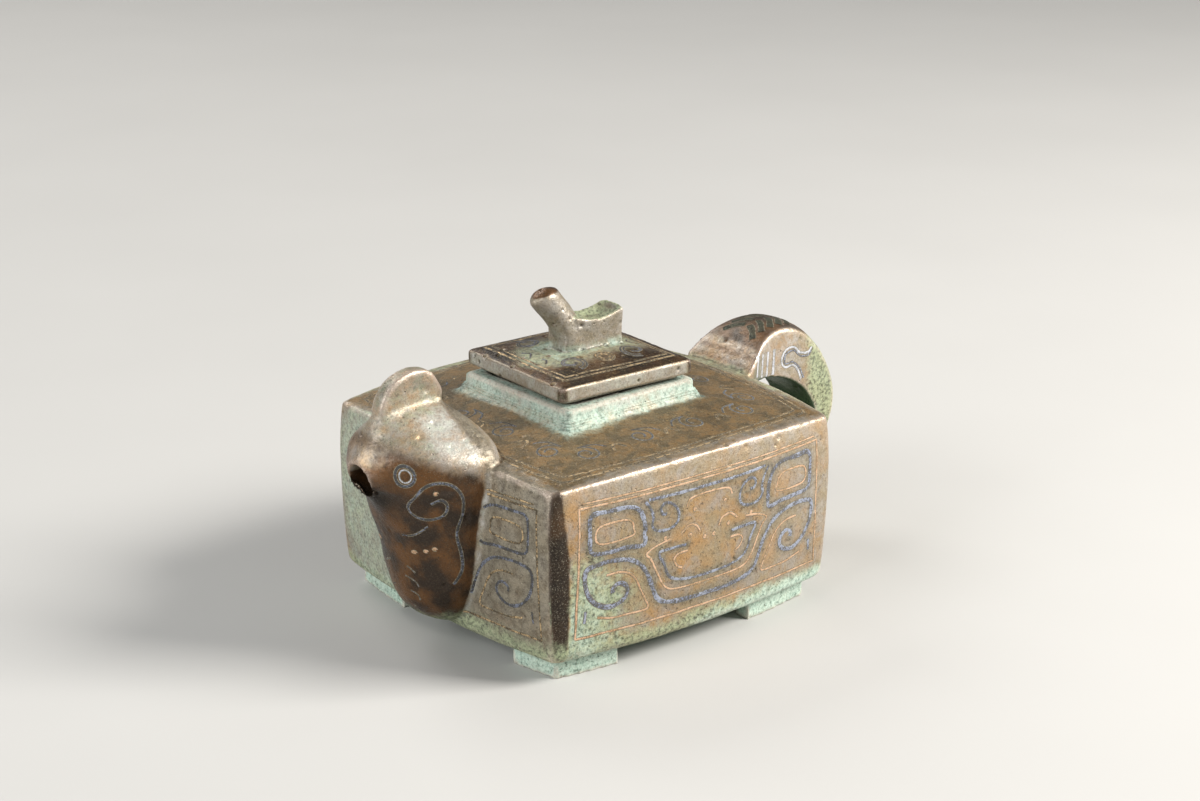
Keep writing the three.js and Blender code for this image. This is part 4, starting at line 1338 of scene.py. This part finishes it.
def patinated_bronze(name, ground, warm, top_colour, haze, rubbing):
    """Cast bronze, long buried: brown skin, mint and green salts in its crust, rubbed edges.

    The brown skin is an oxide film, so it is only partly metallic. The salts are matt and dusty,
    and sit in grooves and low down. Edges that hands reach are rubbed to pale metal.
    """
    m = Surface(name, BRONZE_NOISES, BRONZE_ZONES)
    cells = add(m.tree, "ShaderNodeTexVoronoi", [
        ("Vector", m.spot), ("Scale", 1 / (PIT_SPACING * MM))]).outputs["Distance"]
    pits = m.joined((cells, 0, 0.1, 1, 0))
    crust = m.torn("green", "ragged", 1.1)
    salts = m.torn("mint", "salt_edge", 0.9)
    rubbed = m.joined(("edge", 0, 1), ("grain", 0.3, 0.6, 0.35 * rubbing, rubbing))
    # Pale milky silvering, whiter where its share is strongest; that whiter tone is also the colour of
    # the painted sheen.
    milky_and_sheen = m.coated(("blotch", 0.4, 0.62, "BBB7B1", "9A9486"),
                     ([("silvering_and_sheen", 0.75, 1, 0, 1)], "CCC9C4"))
    # Dark brown patina. The hollow share turns it near black: on the vessel that is painted shade under
    # the beak and the dark near corner; on the lid, the darker flat top.
    brown = m.coated(("brown_cloud", 0.38, 0.66, "2D2117", "694623"),
                     ([("chestnut", 0.6, 0)], "33281C"), ([("hollow", 0, 1)], "1A130D"))
    colour = m.coated(
        ("cloud", 0.36, 0.64, ground, warm),
        ([("haze_cloud", 0.42, 0.66, 0, 0.75)], haze),
        ([("top", 0, 0.85)], ("blotch", 0.34, 0.62, top_colour, "84673F")),
        ([("top", 0, 1), ("haze_cloud", 0.44, 0.6, 0, 0.75)], "534831"),
        ([("film", 0, 1), ("ragged", 0.3, 0.6, 0.35, 0.9)], ("speck", 0.42, 0.6, "827D6C", "5A5648")),
        # The wall beside the spout is painted greyer and darker: partly its grey patina, partly painted
        # shade of the side turned from the key light.
        ([("spout_wall", 0, 0.85)], ("blotch", 0.36, 0.62, "655E51", "8E8777")),
        ([("amber", 0, 0.95)], ("cloud", 0.4, 0.6, "4C3A24", "744E22")),
        # Milky silvering, with the painted sheen and highlights that share it.
        ([("silvering_and_sheen", 0, 1), ("ragged", 0.36, 0.62, 0.3, 1)], milky_and_sheen),
        ([(m.torn("dark", "ragged", 0.9), 0, 1)], brown),
        ([(crust, 0, 0.85)], ("speck", 0.4, 0.62, "A0AA86", "68745A")),
        ([(salts, 0, 0.9)], ("speck", 0.42, 0.64, "BCD0C1", "93AE9F")),
        ([("speck", 0.54, 0.7, 0, 0.7), ("silvering_and_sheen", 1, 0.4)], "2F281D"),
        ([("grit", 0.48, 0.68, 0, 0.45)], "4F4433"),
        ([("grain", 0.56, 0.75, 0, 0.4), ("chestnut", 1, 0.2)], "CFC6B0"),
        # Painted glints: small gold flecks of light on the top faces.
        ([("top", 0, 1), ("glint", 0.58, 0.7, 0, 0.6)], "B39A66"),
        ([(rubbed, 0, 0.6)], "C9B5A6"),
        ([(pits, 0, 0.8)], "1F1912"),
        ([("loop", 0, 0.9)], "22492A"))
    dull = m.joined((crust, 0, 0.8), (salts, 0, 1), operation="MAXIMUM")
    rough = m.joined((dull, 0, 1, 0.38, 0.76), ("chestnut", 0, -0.1), ("speck", 0.35, 0.7, 0, 0.16),
                     (rubbed, 0, -0.1), operation="ADD")
    return m.finished(colour, m.joined((dull, 0.5, 0)), rough, [
        ("cloud", 0.25), ("blotch", 0.16), ("speck", 0.09), ("grain", 0.035),
        (m.joined((pits, 1, 0)), 0.15)])


def old_wire(name, bright, dull, patch, filmed_from, roughness):
    """Hammered wire, worn level with the bronze: bright where rubbed, filmed over in patches."""
    m = Surface(name, [("blotch", 3.0, 5.0, 0.65, 0.5), ("speck", 0.42, 4.0, 0.7, 0)])
    lifted = m.joined(("speck", 0, 1), ("blotch", 0.35, 0.65, 0, 0.16), operation="ADD")
    filmed = m.joined((lifted, filmed_from, filmed_from + 0.12, 0, 1))
    colour = m.coated(("blotch", 0.4, 0.62, bright, dull), ([(filmed, 0, 0.9)], patch))
    return m.finished(colour, m.joined((filmed, 0, 1, 0.65, 0.2)),
                      m.joined((filmed, 0, 1, roughness, roughness + 0.25)),
                      [("blotch", 0.06), ("speck", 0.07)])


def groove_dirt():
    """Dark corrosion packed along the wire's edges: dull, granular and hardly metallic."""
    m = Surface("corroded_groove", [("speck", 0.5, 4.0, 0.7, 0)])
    return m.finished(m.coated(("speck", 0.42, 0.6, "5C5241", "8B8470")), 0.2, 0.66,
                      [("speck", 0.07)])


def plain_floor():
    """Smooth matt paper, pale and even: it takes soft shadows and shows no shine."""
    m = Surface("smooth_matt_paper", [("cloud", 90, 2.0, 0.55, 0), ("fibre", 0.6, 2.0, 0.55, 0)])
    return m.finished(m.coated("B4B2AE", ([("cloud", 0, 1)], "BAB8B4")), 0.0, 0.8,
                      [("fibre", 0.01)])


# Collar moulding: the small steps at its foot, as a loft that hugs the skin

def collar_moulding():
    rows = [(COLLAR_HALF - 0.5, COLLAR_BASE - 0.5), (COLLAR_FOOT_HALF + 0.12, COLLAR_BASE - 0.5)]
    for step in range(COLLAR_STEPS):
        half = COLLAR_FOOT_HALF + 0.12 - step * COLLAR_STEP
        z = COLLAR_BASE + (step + 1) * COLLAR_STEP_HEIGHT
        rows += [(half, z - 0.12), (half - 0.1, z)]
        rows += [(half - COLLAR_STEP, z + 0.05)]
    rows.append((COLLAR_HALF - 0.5, COLLAR_BASE + (COLLAR_STEPS + 0.6) * COLLAR_STEP_HEIGHT))
    rings = np.array([square_ring(half, COLLAR_ROUND, z, 8) for half, z in rows])
    rings = rings + (*COLLAR_AT, 0)
    count = rings.shape[1]
    points = rings.reshape(-1, 3)
    faces = []
    for row in range(len(rings)):
        below = (row + 1) % len(rings)
        for i in range(count):
            j = (i + 1) % count
            faces.append((row * count + i, row * count + j, below * count + j, below * count + i))
    made = solid("collar_moulding", (points, faces))
    cuts = made.modifiers.new("fine", "SUBSURF")
    cuts.subdivision_type = "SIMPLE"
    cuts.levels = cuts.render_levels = 2
    baked(made)
    spots = points_of(made)
    set_points(made, spots + normals_of(made) * (0.05 * wave(spots, 3.0, 91)
                                                 + 0.03 * wave(spots, 1.2, 92))[:, None])
    return made


def placed(obj):
    """From millimetres about the body's middle to the frame's metres."""
    obj.data.transform(TO_FRAME)
    obj.data.update()
    return obj


def shaded(obj, material):
    obj.data.materials.clear()
    obj.data.materials.append(material)
    for polygon in obj.data.polygons:
        polygon.use_smooth = True
    return obj


# Building

vessel = vessel_skin()
lid = lid_skin()
vessel_zones(vessel)
lid_zones(lid)
collar = collar_moulding()
vessel_zones(collar)

lid_low, lid_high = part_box("lid")
lid_middle = (lid_low + lid_high) / 2
SHIFT = Vector((lid_middle.x - COLLAR_AT[0] * MM, lid_middle.y - COLLAR_AT[1] * MM, 0))
TO_FRAME = Matrix.Translation(SHIFT) @ Matrix.Scale(MM, 4)

bronze = patinated_bronze("patinated_cast_bronze", "9C8A6B", "AC8759", "695B42", "9E958C", 1.0)
lid_bronze = patinated_bronze("rubbed_cast_bronze", "7C7058", "8A7658", "564632", "8F8A80", 0.6)
dirt = groove_dirt()
WIRES = {
    "silver": old_wire("tarnished_silver_wire", "A3A9B9", "858CA6", "4F4B40", 0.51, 0.40),
    "bright": old_wire("rubbed_silver_wire", "D8D9DE", "BFC1CB", "8D8C86", 0.56, 0.32),
    "dark": old_wire("blackened_silver_wire", "4E4A3A", "5C6450", "28241A", 0.50, 0.50),
    "worn_silver": old_wire("filmed_silver_wire", "7E8392", "6A6F80", "39352B", 0.47, 0.48),
    "gold": old_wire("worn_gold_wire", "DDB898", "C79F7E", "8A7452", 0.56, 0.38),
    "worn_gold": old_wire("broken_gold_wire", "C9AC82", "A48C68", "2C261C", 0.50, 0.44),
}

PIECES = []


def finish_piece(obj, material, replaced=None):
    shaded(placed(obj), material)
    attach(obj, "root")
    if replaced:
        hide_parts(replaced)
    PIECES.append(obj)


for owner, skin, faces, to_body, slot in (
        ("vessel", vessel, SKIN_FACES, np.asarray, "vessel_bronze"),
        ("lid", lid, LID_FACES, turned, "lid_bronze")):
    wires = gather(skin, faces, to_body)
    wire_halo(skin, wires)
    for kind, runs in wires.items():
        strip = swept(f"{owner}_{kind}_wire", runs, WIRES[kind], WIRE_RISE, 0.0, WIRE_LIFT)
        finish_piece(strip, WIRES[kind])
    groove = swept(f"{owner}_wire_grooves", sum(wires.values(), []), dirt, GROOVE_RISE,
                   GROOVE_EDGE, GROOVE_LIFT)
    finish_piece(groove, dirt)

finish_piece(vessel, bronze, "vessel")
finish_piece(lid, lid_bronze, "lid")
finish_piece(collar, bronze)


# Floor, light and camera

FLOOR_HALF = 3.0
LIGHT_AIM = 0.03
WORLD_STRENGTH = 0.24


def floor():
    data = bpy.data.meshes.new("floor")
    corners = [(-FLOOR_HALF, -FLOOR_HALF, 0), (FLOOR_HALF, -FLOOR_HALF, 0),
               (FLOOR_HALF, FLOOR_HALF, 0), (-FLOOR_HALF, FLOOR_HALF, 0)]
    data.from_pydata(corners, [], [(0, 1, 2, 3)])
    data.materials.append(plain_floor())
    linked("floor", data)


def soft_light(name, place, size, watts, colour):
    """A soft box aimed at the middle of the dropper."""
    data = bpy.data.lights.new(name, "AREA")
    data.size = size
    data.energy = watts
    data.color = colour
    made = linked(name, data)
    made.location = place
    aim = Vector((0, 0, LIGHT_AIM)) - Vector(place)
    made.rotation_euler = aim.to_track_quat("-Z", "Y").to_euler()


def camera():
    data = bpy.data.cameras.new("camera")
    data.lens = CAMERA_LENS
    data.sensor_width = 36.0
    data.clip_start = 0.01
    made = linked("camera", data)
    turn = CAMERA_AIM.to_track_quat("-Z", "Y").to_matrix().to_4x4()
    made.matrix_world = (Matrix.Translation(CAMERA_PLACE) @ turn
                         @ Matrix.Rotation(CAMERA_ROLL, 4, "Z"))
    bpy.context.scene.camera = made


def world():
    made = bpy.data.worlds.new("studio")
    made.use_nodes = True
    background = made.node_tree.nodes["Background"].inputs
    background["Color"].default_value = linear("E8ECF0")
    background["Strength"].default_value = WORLD_STRENGTH
    bpy.context.scene.world = made


floor()
soft_light("key", (0.55, -0.60, 0.58), 0.42, 19, (1.0, 0.98, 0.95))
soft_light("fill", (-0.85, 0.0, 0.42), 0.6, 7, (0.96, 0.98, 1.0))
soft_light("back", (0.0, 0.8, 0.7), 0.5, 4.5, (1.0, 0.99, 0.97))
camera()
world()
bpy.context.scene.view_settings.view_transform = "Standard"
